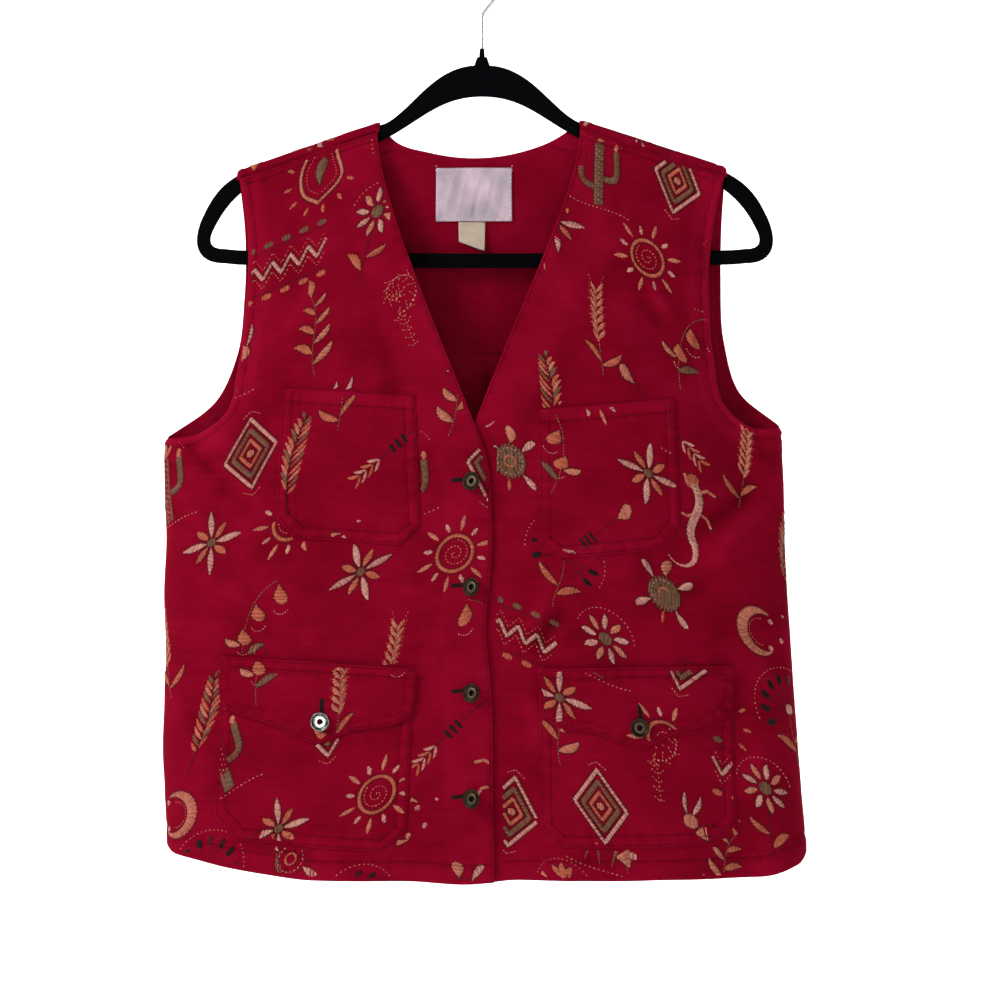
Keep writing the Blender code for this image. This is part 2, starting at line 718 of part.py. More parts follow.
def button(name, x, z, lift, metal):
    """A dished metal button, standing square on the cloth at that place."""
    profile = [(radius * BUTTON_RADIUS, height * BUTTON_HEIGHT) for radius, height in BUTTON_PROFILE]
    obj = turned(name, profile, BUTTON_TURNS, metal)
    spot = paper([(x, z)])
    place, normal = form(*spot.T, FRONT)[0], outward(*spot.T, FRONT)[0]
    obj.location = Vector(place + normal * (lift + BUTTON_STAND)) * MM
    obj.rotation_mode = "QUATERNION"
    obj.rotation_quaternion = Vector(normal).to_track_quat("Z", "Y")


def buttons(metal):
    for i in range(FRONT_BUTTONS):
        button(f"button_front_{i + 1}", BUTTON_X, BUTTON_TOP_Z - i * BUTTON_PITCH, 0.0, metal)
    for side, (x, z) in FLAP_BUTTONS.items():
        button(f"button_flap_{side}", x, z, 2 * (GAP + POCKET_CLOTH), metal)


def arm_top(x):
    """Height of the hanger's arm under the cloth's ridge."""
    return float(crest(x)) - CLOTH - ARM_PLAY


def from_end(sign, points):
    """Points that are given in from the hanger's end, put on one side."""
    return [(sign * (HANGER_END - inset) + HANGER_SHIFT, z) for inset, z in points]


def outer_half(sign):
    """From the neck's foot down the arch and arm, round the end and back to the bar."""
    inner_arm, outer_arm = ((sign * x, arm_top(sign * x)) for x in ARM_SPAN)
    arch = [(sign * x, z) for x, z in ARCH_TOP] + [inner_arm]
    straight = line(inner_arm, outer_arm, 20)[1:-1]
    bend = [outer_arm, *from_end(sign, END_BEND)]
    tip = from_end(sign, END_TIP)
    return np.concatenate([bezier(arch, 9), straight, bezier(bend, 8), bezier(tip, 6)[1:]])


def hollow_half(sign):
    """From the arch's underside down inside the arm and round to the bar's top."""
    inner_arm, outer_arm = ((sign * x, arm_top(sign * x) - deep) for x, deep in ARM_UNDERSIDE)
    arch = [(sign * x, z) for x, z in ARCH_UNDERSIDE] + [inner_arm]
    straight = line(inner_arm, outer_arm, 21)[1:-1]
    bend = [outer_arm, *from_end(sign, HOLLOW_BEND)]
    tip = from_end(sign, HOLLOW_TIP)
    return np.concatenate([bezier(arch, 9), straight, bezier(bend, 8), bezier(tip, 6)[1:]])


def bar(start, end, z):
    """The points between the ends of the bar's upper or lower edge, which sags a little in the middle."""
    edge = line((start[0], z), (end[0], z), 34)[1:-1]
    sag = BAR_SAG * (1 - (edge[:, 0] / HANGER_END) ** 2)
    return edge - np.stack([np.zeros(len(edge)), sag], axis=-1)


def hanger_frame(flock):
    """The moulded frame: an outline with a hollow, given its thickness and rounded edges."""
    neck = [(-NECK_HALF, NECK_TOP), (NECK_HALF, NECK_TOP)]
    right, left = outer_half(1), outer_half(-1)[::-1]
    outline = np.concatenate([neck, right, bar(right[-1], left[0], BAR_TOP - BAR_DEPTH), left])
    right, left = hollow_half(1), hollow_half(-1)[::-1]
    hollow = np.concatenate([right, bar(right[-1], left[0], BAR_TOP), left[:-1]])
    shape = bpy.data.curves.new("hanger_body", "CURVE")
    shape.dimensions, shape.fill_mode = "2D", "BOTH"
    shape.bevel_depth, shape.bevel_resolution = HANGER_EDGE * MM, 1
    shape.extrude = (HANGER_THICK / 2 - HANGER_EDGE) * MM
    shape.offset = -HANGER_EDGE * MM
    for loop in (outline, hollow):
        spline = shape.splines.new("POLY")
        spline.points.add(len(loop) - 1)
        for point, (x, z) in zip(spline.points, loop):
            point.co = (x * MM, z * MM, 0, 1)
        spline.use_cyclic_u = True
    body = add("hanger_body", shape, flock)
    body.rotation_euler.x = pi / 2


def hanger_collar(flock):
    """The small collar that holds the wire, on the frame's neck."""
    foot = NECK_TOP + GAP
    profile = [
        (0.0, COLLAR_TOP),
        (COLLAR_RADIUS * 0.8, COLLAR_TOP),
        (COLLAR_RADIUS, COLLAR_TOP - 1.5),
        (COLLAR_RADIUS * 1.15, foot),
        (0.0, foot),
    ]
    turned("hanger_collar", profile, COLLAR_TURNS, flock)


def hanger_hook(wire_finish):
    """The wire: up from the collar, a bend to the right, and round over the rail to the left."""
    bend = radians(HOOK_BEND_DEG)
    middle = WIRE_RADIUS - HOOK_RADIUS
    leave = (HOOK_RADIUS * cos(bend), middle - HOOK_RADIUS * sin(bend))
    elbow = (0.0, leave[1] - leave[0] * cos(bend) / sin(bend))
    before = (0.0, elbow[1] - HOOK_ELBOW)
    after = (HOOK_ELBOW * sin(bend), elbow[1] + HOOK_ELBOW * cos(bend))
    stem = line((0, COLLAR_TOP + GAP), before, 8)
    corner = bezier([before, elbow, elbow, after], 2)
    slope = line(after, leave, 7)
    turns = np.radians(np.arange(-HOOK_BEND_DEG, HOOK_END_DEG, HOOK_STEP_DEG))
    arc = np.stack([HOOK_RADIUS * np.cos(turns), middle + HOOK_RADIUS * np.sin(turns)], axis=-1)
    route = np.concatenate([stem, corner[1:], slope[1:], arc[1:]])
    wire = bpy.data.curves.new("hanger_hook", "CURVE")
    wire.dimensions, wire.use_fill_caps = "3D", True
    wire.bevel_depth, wire.bevel_resolution = WIRE_RADIUS * MM, 2
    spline = wire.splines.new("POLY")
    spline.points.add(len(route) - 1)
    for point, (x, z) in zip(spline.points, route):
        point.co = (x * MM, 0, z * MM, 1)
    add("hanger_hook", wire, wire_finish)


def build():
    for obj in list(bpy.data.objects):
        bpy.data.objects.remove(obj)
    twill = material("red twill", (0.42, 0.012, 0.035), 0.9)
    satin = material("blank satin label", (0.72, 0.66, 0.68), 0.35)
    tape = material("blank care tape", (0.66, 0.56, 0.44), 0.7)
    metal = material("gunmetal", (0.16, 0.15, 0.13), 0.35, 1.0)
    flock = material("black flock", (0.006, 0.006, 0.007), 0.95)
    polished = material("polished wire", (0.75, 0.75, 0.76), 0.12, 1.0)

    right = front_outline(RIGHT_NECK, right_front_edge(), RIGHT_ARMHOLE, -1)
    left = front_outline(LEFT_NECK, left_front_edge(), LEFT_ARMHOLE, 1)
    front("front_right", right, ("chest_pocket_right", "lower_pocket_right"), twill, flush)
    front("front_left", left, ("chest_pocket_left", "lower_pocket_left"), twill, under_lap)
    back_and_facing(twill, satin, tape)
    buttons(metal)
    hanger_frame(flock)
    hanger_collar(flock)
    hanger_hook(polished)


build()
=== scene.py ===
# %% [markdown]
# # An embroidered western vest on a flocked hanger
#
# The vest is a soft shell of red cotton twill. It hangs open at the neck, hem and armholes on a flat
# velvet hanger. We make it the way it was sewn: every piece is an outline on flat cloth, and one
# function, the form, says where a point of that cloth goes in space. The fixed frame holds the same
# pieces as plain solids. Here each gets its creases, rolled edges, stitching and cloth.

# %% Load the frame
from math import cos, pi, radians, sin

import bpy
import numpy as np
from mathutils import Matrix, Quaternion, Vector
from mathutils.bvhtree import BVHTree
from mathutils.geometry import delaunay_2d_cdt


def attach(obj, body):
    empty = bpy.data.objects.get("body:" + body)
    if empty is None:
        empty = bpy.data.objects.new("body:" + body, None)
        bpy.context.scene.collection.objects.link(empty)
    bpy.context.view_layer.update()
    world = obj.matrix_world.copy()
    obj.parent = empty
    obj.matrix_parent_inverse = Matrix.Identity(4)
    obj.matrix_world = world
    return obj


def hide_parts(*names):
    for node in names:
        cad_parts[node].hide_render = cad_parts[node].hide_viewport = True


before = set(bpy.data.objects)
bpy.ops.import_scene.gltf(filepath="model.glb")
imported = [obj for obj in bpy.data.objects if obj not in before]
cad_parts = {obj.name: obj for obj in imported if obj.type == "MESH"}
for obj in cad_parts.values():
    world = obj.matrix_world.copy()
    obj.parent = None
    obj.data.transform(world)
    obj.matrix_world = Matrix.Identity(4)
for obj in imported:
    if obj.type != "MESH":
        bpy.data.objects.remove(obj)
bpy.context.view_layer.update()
MM = 0.001
FRONT, BACK = -1, 1
print("nodes in the frame:", len(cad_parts))

# %% [markdown]
# ## The camera
#
# The photograph was taken from straight in front, level with the middle of the hanging vest. The
# camera stands 1.5 m away, so the crowned front looks a little larger than the edges, as it did there.

# %% Camera
VIEW_DISTANCE = 1.5
VIEW_MIDDLE = (0.0139, -0.4202)  # x and z at the middle of the picture
FRAME_WIDTH = 0.7726  # what the picture spans at the hanger's plane

lens = bpy.data.cameras.new("portrait lens")
lens.sensor_width = 36
lens.lens = lens.sensor_width * VIEW_DISTANCE / FRAME_WIDTH
lens.clip_start = 0.05
camera = bpy.data.objects.new("camera", lens)
camera.location = (VIEW_MIDDLE[0], -VIEW_DISTANCE, VIEW_MIDDLE[1])
camera.rotation_euler = (pi / 2, 0, 0)
bpy.context.scene.collection.objects.link(camera)
bpy.context.scene.camera = camera
print(f"lens {lens.lens:.1f} mm at {VIEW_DISTANCE} m")

# %% [markdown]
# ## Values of the frame
#
# These are the sizes, in millimetres, that the solids were made from, so the fine cloth lies where the
# plain solid lies. Only the lap is a little deeper, and the care label a little shorter.

# %% Sizes of the cloth and of the form
CLOTH = 1.6
POCKET_CLOTH = 1.2
FACING_CLOTH = 0.8
LABEL_CLOTH = 0.5
GAP = 0.3
LAP = 3.0
RIDGE = 4.8
RIDGE_TURNS = (10.5, 7.6, 5.0, 2.5, 0.0, -2.5, -5.0, -7.6)
SHOULDER_SEAM = 11.0
CREST = -108.8
CREST_SLOPE = 0.345
CREST_SOFT = 30.0
CREST_TILT = 0.006
SIDE_ROUND = 1.3
GIRTH_WIDTH = 240.0  # half the width and the depth of the section that girths are measured on
GIRTH_DEPTH = RIDGE + 38.0

WIDTH_ROWS = [
    # height, right, left
    (-720, 241.0, 251.5), (-690, 243.0, 250.6), (-650, 244.5, 247.0), (-612, 246.3, 244.3),
    (-573, 245.0, 241.3), (-530, 244.0, 238.2), (-495, 245.4, 236.0), (-450, 243.6, 233.8),
    (-395, 245.2, 232.4), (-370, 243.0, 230.6), (-330, 238.0, 228.0), (-270, 229.0, 222.0),
    (-200, 220.0, 217.0), (-100, 212.0, 212.0),
]
DEPTH_ROWS = [
    # below, front, back
    (0, 0.0, 0.0), (25, 1.6, 0.6), (60, 7.5, 3.8), (120, 17.5, 9.5), (200, 28.5, 16.0),
    (300, 37.0, 21.5), (420, 41.5, 25.0), (620, 43.5, 27.5),
]

# %% [markdown]
# ## Folds and creases
#
# The large folds are those of the solids. The creases are what the eye reads as worn cotton: soft
# troughs and ridges that start and end at nothing, each of its own length, depth and slant. They are
# listed one by one, because noise gives cloth that looks like rock. The right underarm sags into a deep
# hollow, from which drag lines run under the chest pocket.

# %% Folds, a row each: from, to, half width, and how far it stands out
FRONT_FOLDS = [
    # x, z, to x, to z, half width, height
    (-205, -215, -206, -320, 15, -3.5), (-206, -345, -238, -400, 15, -6.5),
    (-185, -392, -150, -470, 26, 2.6), (168, -175, 176, -300, 12, -3.2),
    (176, -300, 203, -400, 20, -8.0), (150, -395, 60, -478, 22, 3.4), (206, -430, 120, -490, 18, -4.2),
    (36, -536, 84, -494, 12, -3.0), (40, -505, 60, -480, 16, 2.6), (-120, -560, -105, -700, 30, 2.6),
    (-205, -520, -200, -700, 22, 3.2), (-160, -640, -158, -706, 20, -2.4),
    (120, -575, 112, -706, 32, 2.8), (185, -560, 200, -700, 20, -3.0), (222, -600, 228, -700, 16, 2.6),
    (40, -620, 34, -706, 22, -2.6), (-45, -600, -40, -706, 26, 2.0), (-120, -215, -100, -330, 26, 2.2),
    (110, -215, 96, -330, 26, 2.4),
]
BACK_FOLDS = [
    (-110, -250, -120, -690, 34, 4.0), (110, -260, 124, -690, 34, 4.4), (0, -330, 6, -700, 40, -3.6),
    (-190, -430, -200, -700, 24, -3.4), (188, -420, 204, -700, 24, -3.8),
    (-205, -320, -225, -390, 16, -3.0), (205, -320, 222, -390, 16, -3.2), (60, -520, 66, -705, 20, 2.6),
    (-62, -540, -60, -705, 20, 2.4),
]
FRONT_CREASES = [
    # x, z, to x, to z, half width, height
    (206, -352, 222, -395, 6, -1.5), (218, -398, 150, -452, 7, -1.4), (226, -420, 172, -470, 6, 1.1),
    (190, -468, 112, -505, 7, -1.0), (132, -470, 62, -492, 6, 1.0), (96, -512, 34, -530, 5, -0.8),
    (66, -498, 38, -542, 5, -1.2), (52, -488, 30, -520, 6, 0.9), (128, -250, 150, -285, 5, 0.8),
    (118, -262, 142, -300, 5, -0.7), (110, -208, 84, -262, 7, 0.7), (-222, -356, -190, -384, 6, 1.2),
    (-232, -368, -196, -404, 5, -1.4), (-214, -398, -168, -436, 6, -0.9),
    (-236, -404, -198, -452, 6, 0.9), (-128, -250, -150, -292, 6, 0.7), (-74, -300, -58, -352, 6, -0.7),
    (-66, -440, -20, -462, 5, -0.6), (-70, -480, -18, -496, 6, 0.6), (-150, -480, -96, -500, 6, -0.7),
    (-214, -470, -168, -496, 6, 0.8), (-60, -520, -16, -528, 4, 0.5), (-232, -560, -208, -600, 6, -0.8),
    (-190, -690, -120, -697, 4, 0.7), (-110, -694, -40, -702, 4, -0.6), (36, -694, 96, -700, 4, 0.6),
    (130, -700, 200, -692, 4, -0.7), (214, -520, 226, -575, 7, -0.9), (206, -600, 222, -640, 6, 0.7),
    (30, -560, 44, -610, 6, 0.6), (-28, -408, -60, -420, 3, -0.5), (-28, -488, -56, -494, 3, -0.5),
]
BACK_CREASES = [
    (-218, -352, -180, -392, 7, -1.3), (-228, -380, -176, -430, 7, 1.1),
    (214, -350, 176, -384, 7, -1.2), (224, -384, 170, -440, 7, 1.0), (-60, -300, 40, -318, 9, -0.8),
    (70, -360, 150, -392, 8, 0.9), (-150, -470, -70, -500, 8, -0.9), (-40, -520, 66, -505, 9, 0.8),
    (90, -560, 180, -590, 7, -0.8), (-190, -600, -110, -622, 7, 0.8), (-60, -640, 20, -655, 6, -0.7),
    (110, -690, 190, -684, 5, 0.6), (-200, -684, -120, -692, 5, -0.6),
]
CREASE_DEPTH = 2.1  # the creases are this many times as deep as their rows say
UNREST = 0.42
print("folds:", len(FRONT_FOLDS) + len(BACK_FOLDS), "creases:", len(FRONT_CREASES) + len(BACK_CREASES))

# %% [markdown]
# ## Curves and the form
#
# The form takes girth, the way round the body from the centre line, and drop, the way down from the
# shoulder ridge. Because both are lengths along the cloth, an outline keeps its size when it is hung.

# %% Small curve tools
def eased(at, knots, values):
    """A smooth curve through a table's rows, whose slope at each row comes from its neighbours."""
    knots, values = np.array(knots, float), np.array(values, float)
    slopes = np.gradient(values, knots)
    at = np.clip(at, knots[0], knots[-1])
    i = np.clip(np.searchsorted(knots, at) - 1, 0, len(knots) - 2)
    span = knots[i + 1] - knots[i]
    t = (at - knots[i]) / span
    start = (1 + 2 * t) * (1 - t) ** 2 * values[i] + t * (1 - t) ** 2 * span * slopes[i]
    return start + t**2 * (3 - 2 * t) * values[i + 1] - t**2 * (1 - t) * span * slopes[i + 1]


def column(rows, index):
    return [row[index] for row in rows]


def ramp(at, low, high):
    """0 below low, 1 above high and smooth between."""
    t = np.clip((at - low) / (high - low), 0, 1)
    return t * t * (3 - 2 * t)


def bezier(points, step):
    """Points along a cubic curve, about step apart."""
    p = np.array(points, float)
    count = max(3, round(np.linalg.norm(np.diff(p, axis=0), axis=1).sum() / step) + 1)
    t = np.linspace(0, 1, count)[:, None]
    return (1 - t) ** 3 * p[0] + 3 * t * (1 - t) ** 2 * p[1] + 3 * t**2 * (1 - t) * p[2] + t**3 * p[3]


def lengths_along(points):
    """How far along a path each of its points lies."""
    return np.concatenate([[0], np.cumsum(np.linalg.norm(np.diff(points, axis=0), axis=1))])


def resampled(points, step, between=np.interp):
    """Points about step apart along a path, straight from one given point to the next."""
    p = np.array(points, float)
    along = lengths_along(p)
    at = np.linspace(0, along[-1], max(3, round(along[-1] / step) + 1))
    return np.stack([between(at, along, p[:, i]) for i in (0, 1)], axis=-1)


def through(points, step):
    """Points along a smooth curve through the given ones."""
    return resampled(points, step, eased)


def line(start, end, step):
    start, end = np.array(start, float), np.array(end, float)
    count = max(2, round(np.linalg.norm(end - start) / step) + 1)
    return start + np.linspace(0, 1, count)[:, None] * (end - start)


def closed(loop):
    return np.concatenate([loop, loop[:1]])


def unit(runs):
    return runs / np.maximum(np.linalg.norm(runs, axis=-1, keepdims=True), 1e-9)


def left_of(runs):
    """Unit vectors a quarter turn from each run."""
    return unit(np.stack([-runs[:, 1], runs[:, 0]], axis=-1))


def joined(*runs):
    """One closed outline from runs of points, without the points that two runs share."""
    points = np.concatenate(runs)
    keep = np.linalg.norm(points - np.roll(points, 1, axis=0), axis=1) > 0.3
    return points[keep]


# %% The form that the cloth hangs on
def crest(x):
    """Height of the ridge line over the shoulders."""
    return CREST - CREST_SLOPE * (np.hypot(x, CREST_SOFT) - CREST_SOFT) + CREST_TILT * x


def half_width(z, side):
    heights = column(WIDTH_ROWS, 0)
    right = eased(z, heights, column(WIDTH_ROWS, 1))
    left = eased(z, heights, column(WIDTH_ROWS, 2))
    return np.where(np.asarray(side) < 0, right, left)


def girth_table():
    """Angle round the body against girth, on a section of middling size."""
    angles = np.linspace(0, pi / 2, 181)
    out = GIRTH_DEPTH * (1 - (1 - np.cos(angles)) ** SIDE_ROUND)
    steps = np.hypot(np.diff(GIRTH_WIDTH * np.sin(angles)), np.diff(out))
    return angles, np.concatenate([[0], np.cumsum(steps)])


ANGLES, GIRTHS = girth_table()
SIDE_GIRTH = GIRTHS[-1]


def angle_of(girth):
    return np.sign(girth) * np.interp(np.abs(girth), GIRTHS, ANGLES)


def girth_of(angle):
    return np.sign(angle) * np.interp(np.abs(angle), ANGLES, GIRTHS)


def fold_height(x, z, rows):
    total = np.zeros_like(x)
    for x0, z0, x1, z1, half, height in rows:
        along = ((x - x0) * (x1 - x0) + (z - z0) * (z1 - z0)) / ((x1 - x0) ** 2 + (z1 - z0) ** 2)
        along = np.clip(along, 0, 1)
        away = np.hypot(x - x0 - along * (x1 - x0), z - z0 - along * (z1 - z0))
        total += height * np.exp(-((away / half) ** 2))
    return total


def crease_height(x, z, rows):
    """Creases are deepest in the middle, bend a little, and fade to nothing at both ends."""
    total = np.zeros_like(x)
    for i, (x0, z0, x1, z1, half, height) in enumerate(rows):
        dx, dz = x1 - x0, z1 - z0
        long = np.hypot(dx, dz)
        along = ((x - x0) * dx + (z - z0) * dz) / long**2
        across = ((x - x0) * dz - (z - z0) * dx) / long
        bend = long * 0.06 * (-1) ** i
        across = across - bend * (1 - (2 * along - 1) ** 2)
        total += height * np.exp(-((across / half) ** 2)) * np.exp(-((along - 0.5) / 0.36) ** 4)
    return total


def unrest(x, z):
    """Worn cloth is never quite flat: low, broad and uneven waves."""
    return UNREST * (
        np.sin(0.071 * x + 0.043 * z + 1.3)
        + 0.8 * np.sin(0.038 * x - 0.088 * z + 0.4)
        + 0.6 * np.sin(-0.127 * x + 0.061 * z + 2.2)
        + 0.5 * np.sin(0.052 * x + 0.151 * z + 4.1)
    )


def form(girth, drop, face):
    """Places in space, as rows of x, y, z, for points of the cloth's outer side."""
    angle = angle_of(girth)
    run = np.abs(drop)
    over = np.minimum(run / RIDGE, pi / 2)
    below = RIDGE * (1 - np.cos(over)) + np.maximum(run - RIDGE * pi / 2, 0)
    x = 200 * np.sin(angle)
    for _ in range(8):
        z = crest(x) - below
        x = half_width(z, angle) * np.sin(angle)
    side = 1 - np.cos(angle)
    out = RIDGE * np.sin(over) * (1 - side**6)
    depths = column(DEPTH_ROWS, 1 if face == FRONT else 2)
    out = out + eased(below, column(DEPTH_ROWS, 0), depths) * (1 - side**SIDE_ROUND)
    folds, creases = (FRONT_FOLDS, FRONT_CREASES) if face == FRONT else (BACK_FOLDS, BACK_CREASES)
    relief = fold_height(x, z, folds) + CREASE_DEPTH * crease_height(x, z, creases) + unrest(x, z)
    out = out + relief * (1 - side**4) * ramp(below, 12, 60)
    return np.stack([x, face * np.where(drop < 0, -1, 1) * out, z], axis=-1)


def outward(girth, drop, face):
    """Unit normals of the form, pointing away from the body."""
    step = 0.4
    across = form(girth + step, drop, face) - form(girth - step, drop, face)
    down = form(girth, drop + step, face) - form(girth, drop - step, face)
    normal = face * np.cross(across, down)
    return normal / np.linalg.norm(normal, axis=-1, keepdims=True)


def paper(points):
    """Girth and drop of points that are given as seen from the front."""
    x, z = np.array(points, float).T
    angle = np.arcsin(np.clip(x / half_width(z, x), -1, 1))
    below = crest(x) - z
    near = RIDGE * np.arccos(1 - np.clip(below, 0, RIDGE) / RIDGE)
    drop = np.where(below < RIDGE, near, below - RIDGE + RIDGE * pi / 2)
    return np.stack([girth_of(angle), drop], axis=-1)


print(f"half the girth is {SIDE_GIRTH:.0f} mm")

# %% [markdown]
# ## The paper pattern
#
# Each outline is drawn as seen from the front and then laid flat. The necks are cubic curves with
# four control points, and the armholes run through theirs. The right front laps over the left one.

# %% Edges of the fronts and the back
RIGHT_NECK = [(-80.5, -136), (-79, -190), (-34, -288), (2, -381)]
RIGHT_EDGE_ROWS = [
    # height, x of the upper front's edge
    (-381, 2.0), (-389, 4.2), (-428, 7.5), (-461, 7.5), (-490, 5.3), (-514, 3.2), (-539, 5.3),
    (-567, 7.5), (-637, 8.6), (-704, 9.6),
]
LEFT_NECK = [(75.5, -134), (76, -180), (28, -272), (-8, -369)]
LEFT_EDGE_X = -21.5
RIGHT_ARMHOLE = [
    (-187, -172), (-179.6, -222), (-180.4, -270), (-186, -320), (-195.4, -354), (-218, -370),
    (-243, -373),
]
LEFT_ARMHOLE = [
    (187, -170), (177.6, -212), (174.2, -258), (177.4, -308), (186.5, -349), (208, -365), (231, -365),
]
RIGHT_BACK_ARMHOLE = [(-188.6, -166), (-183.6, -218), (-185, -265), (-191, -308), (-206, -342), (-243, -371)]
LEFT_BACK_ARMHOLE = [(188.6, -164), (185.8, -205), (185.4, -245), (188.5, -298), (200, -336), (231, -363)]
BACK_NECK = [(-79, -130), (-66, -143), (-40, -151), (-8, -154.8), (24, -151.6), (54, -142), (75.5, -128)]
HEM_FRONT = -705.5
HEM_BACK = -701.0
HEM_SIDE_RIGHT = -689.5
HEM_SIDE_LEFT = -696.0
HEM_RISE_RIGHT = 0.5
HEM_RISE_LEFT = 0.8
HEM_DIP = 2.5  # how far the front's hem sinks about the opening
HEM_DIP_X = -12
HEM_DIP_HALF = 40
HEM_CORNER = 5.0  # how far the hem rises at the side seams
HEM_CORNER_FROM = 0.93
SEAM_GAP = 0.03  # what two seams leave between them, so that no light comes through
SIDE_EDGE = SIDE_GIRTH - SEAM_GAP
SEAM_DROP = SHOULDER_SEAM + SEAM_GAP
EDGE_STEP = 3.4
GRID_STEP = 3.8


def hem(girth, face):
    """Drop of the hem at each girth."""
    share = np.abs(girth) / SIDE_GIRTH
    level = HEM_FRONT if face == FRONT else HEM_BACK
    side_level = np.where(girth < 0, HEM_SIDE_RIGHT, HEM_SIDE_LEFT)
    z = level + (side_level - level) * ramp(share, np.where(girth < 0, HEM_RISE_RIGHT, HEM_RISE_LEFT), 1.0)
    z = z + HEM_CORNER * ramp(share, HEM_CORNER_FROM, 1.0)
    if face == FRONT:
        z = z - HEM_DIP * ramp(-np.abs(girth - HEM_DIP_X) / HEM_DIP_HALF, -1, 0)
    x = half_width(z, girth) * np.sin(angle_of(girth))
    return crest(x) - z - RIDGE + RIDGE * pi / 2


def hem_run(start, end, face):
    girths = np.linspace(start, end, max(3, round(abs(end - start) / EDGE_STEP) + 1))
    return np.stack([girths, hem(girths, face)], axis=-1)


def laid_below(points, drop):
    """Points laid flat, without those that lie higher than a drop."""
    flat = paper(points)
    return flat[flat[:, 1] > drop]


def side_foot(girth, face):
    return girth, float(hem(np.array(girth), face))


def front_outline(neck, edge, armhole, sign):
    """A front's outline, and the runs of it that get their own stitching."""
    arm = laid_below(through(armhole, EDGE_STEP), SEAM_DROP + 2)
    neck_run = laid_below(bezier(neck, EDGE_STEP), SEAM_DROP + 2)
    neck_end = np.array([neck_run[0, 0], SEAM_DROP])
    tip = np.array([arm[0, 0] + sign, SEAM_DROP])
    arm[-1, 0] = sign * SIDE_EDGE
    edge_run = paper(edge)
    hem_line = hem_run(sign * SIDE_EDGE, edge_run[-1, 0], FRONT)
    runs = {
        "shoulder": line(neck_end, tip, EDGE_STEP),
        "armhole": np.concatenate([[tip], arm]),
        "side": line(arm[-1], side_foot(sign * SIDE_EDGE, FRONT), EDGE_STEP),
        "hem": hem_line,
        "opening": np.concatenate([hem_line[-1:], edge_run[::-1][1:], neck_run[::-1], [neck_end]]),
    }
    return joined(*runs.values()), runs


def right_front_edge():
    heights, xs = column(RIGHT_EDGE_ROWS, 0)[::-1], column(RIGHT_EDGE_ROWS, 1)[::-1]
    z = np.linspace(heights[-1], heights[0], round((heights[-1] - heights[0]) / EDGE_STEP))
    return np.stack([eased(z, heights, xs), z], axis=-1)


def left_front_edge():
    turn = bezier([LEFT_NECK[-1], (-16, -380), (LEFT_EDGE_X, -386), (LEFT_EDGE_X, -405)], EDGE_STEP)
    fall = line((LEFT_EDGE_X, -405), (LEFT_EDGE_X + 2, HEM_FRONT), EDGE_STEP)
    return np.concatenate([turn, fall[1:]])


def shoulder_ends(sign):
    """Girth of the shoulder's neck end and of its tip, on the ridge."""
    neck, arm = (BACK_NECK[0], RIGHT_BACK_ARMHOLE[0]) if sign < 0 else (BACK_NECK[-1], LEFT_BACK_ARMHOLE[0])
    return paper([neck])[0, 0], paper([arm])[0, 0]


def over_ridge(girth, start):
    """The short edge that goes over the ridge at one girth, down to the shoulder seam."""
    drops = np.array([start, *RIDGE_TURNS, -SHOULDER_SEAM])
    return np.stack([np.full(len(drops), girth), drops], axis=-1)


def back_outline():
    """The back's outline, and the runs of it that get their own stitching."""
    left_arm, right_arm, neck = (
        laid_below(through(points, EDGE_STEP), RIDGE_TURNS[0] + 2)
        for points in (LEFT_BACK_ARMHOLE, RIGHT_BACK_ARMHOLE, BACK_NECK)
    )
    left_arm[-1, 0], right_arm[-1, 0] = SIDE_EDGE, -SIDE_EDGE
    (left_neck, left_tip), (right_neck, right_tip) = shoulder_ends(1), shoulder_ends(-1)
    left_over, right_over = over_ridge(left_tip, left_arm[0, 1]), over_ridge(right_tip, right_arm[0, 1])
    neck_ends = over_ridge(left_neck, neck[-1, 1])[::-1], over_ridge(right_neck, neck[0, 1])
    seam = -SHOULDER_SEAM
    runs = {
        "hem": hem_run(-SIDE_EDGE, SIDE_EDGE, BACK),
        "left_side": line(side_foot(SIDE_EDGE, BACK), left_arm[-1], EDGE_STEP),
        "left_armhole": np.concatenate([left_arm[::-1], left_over]),
        "left_shoulder": line((left_tip, seam), (left_neck, seam), EDGE_STEP),
        "neck": np.concatenate([neck_ends[0], neck[::-1], neck_ends[1]]),
        "right_shoulder": line((right_neck, seam), (right_tip, seam), EDGE_STEP),
        "right_armhole": np.concatenate([right_over[::-1], right_arm]),
        "right_side": line(right_arm[-1], side_foot(-SIDE_EDGE, BACK), EDGE_STEP),
    }
    return joined(*runs.values()), runs


RIGHT_OUTLINE, RIGHT_RUNS = front_outline(RIGHT_NECK, right_front_edge(), RIGHT_ARMHOLE, -1)
LEFT_OUTLINE, LEFT_RUNS = front_outline(LEFT_NECK, left_front_edge(), LEFT_ARMHOLE, 1)
BACK_OUTLINE, BACK_RUNS = back_outline()


def flat_area(outline):
    """Area inside a closed outline, in square metres."""
    x, y = outline.T
    return abs(np.dot(x, np.roll(y, 1)) - np.dot(y, np.roll(x, 1))) / 2 * MM**2


print("front", round(flat_area(RIGHT_OUTLINE), 4), "back", round(flat_area(BACK_OUTLINE), 4), "square metres")

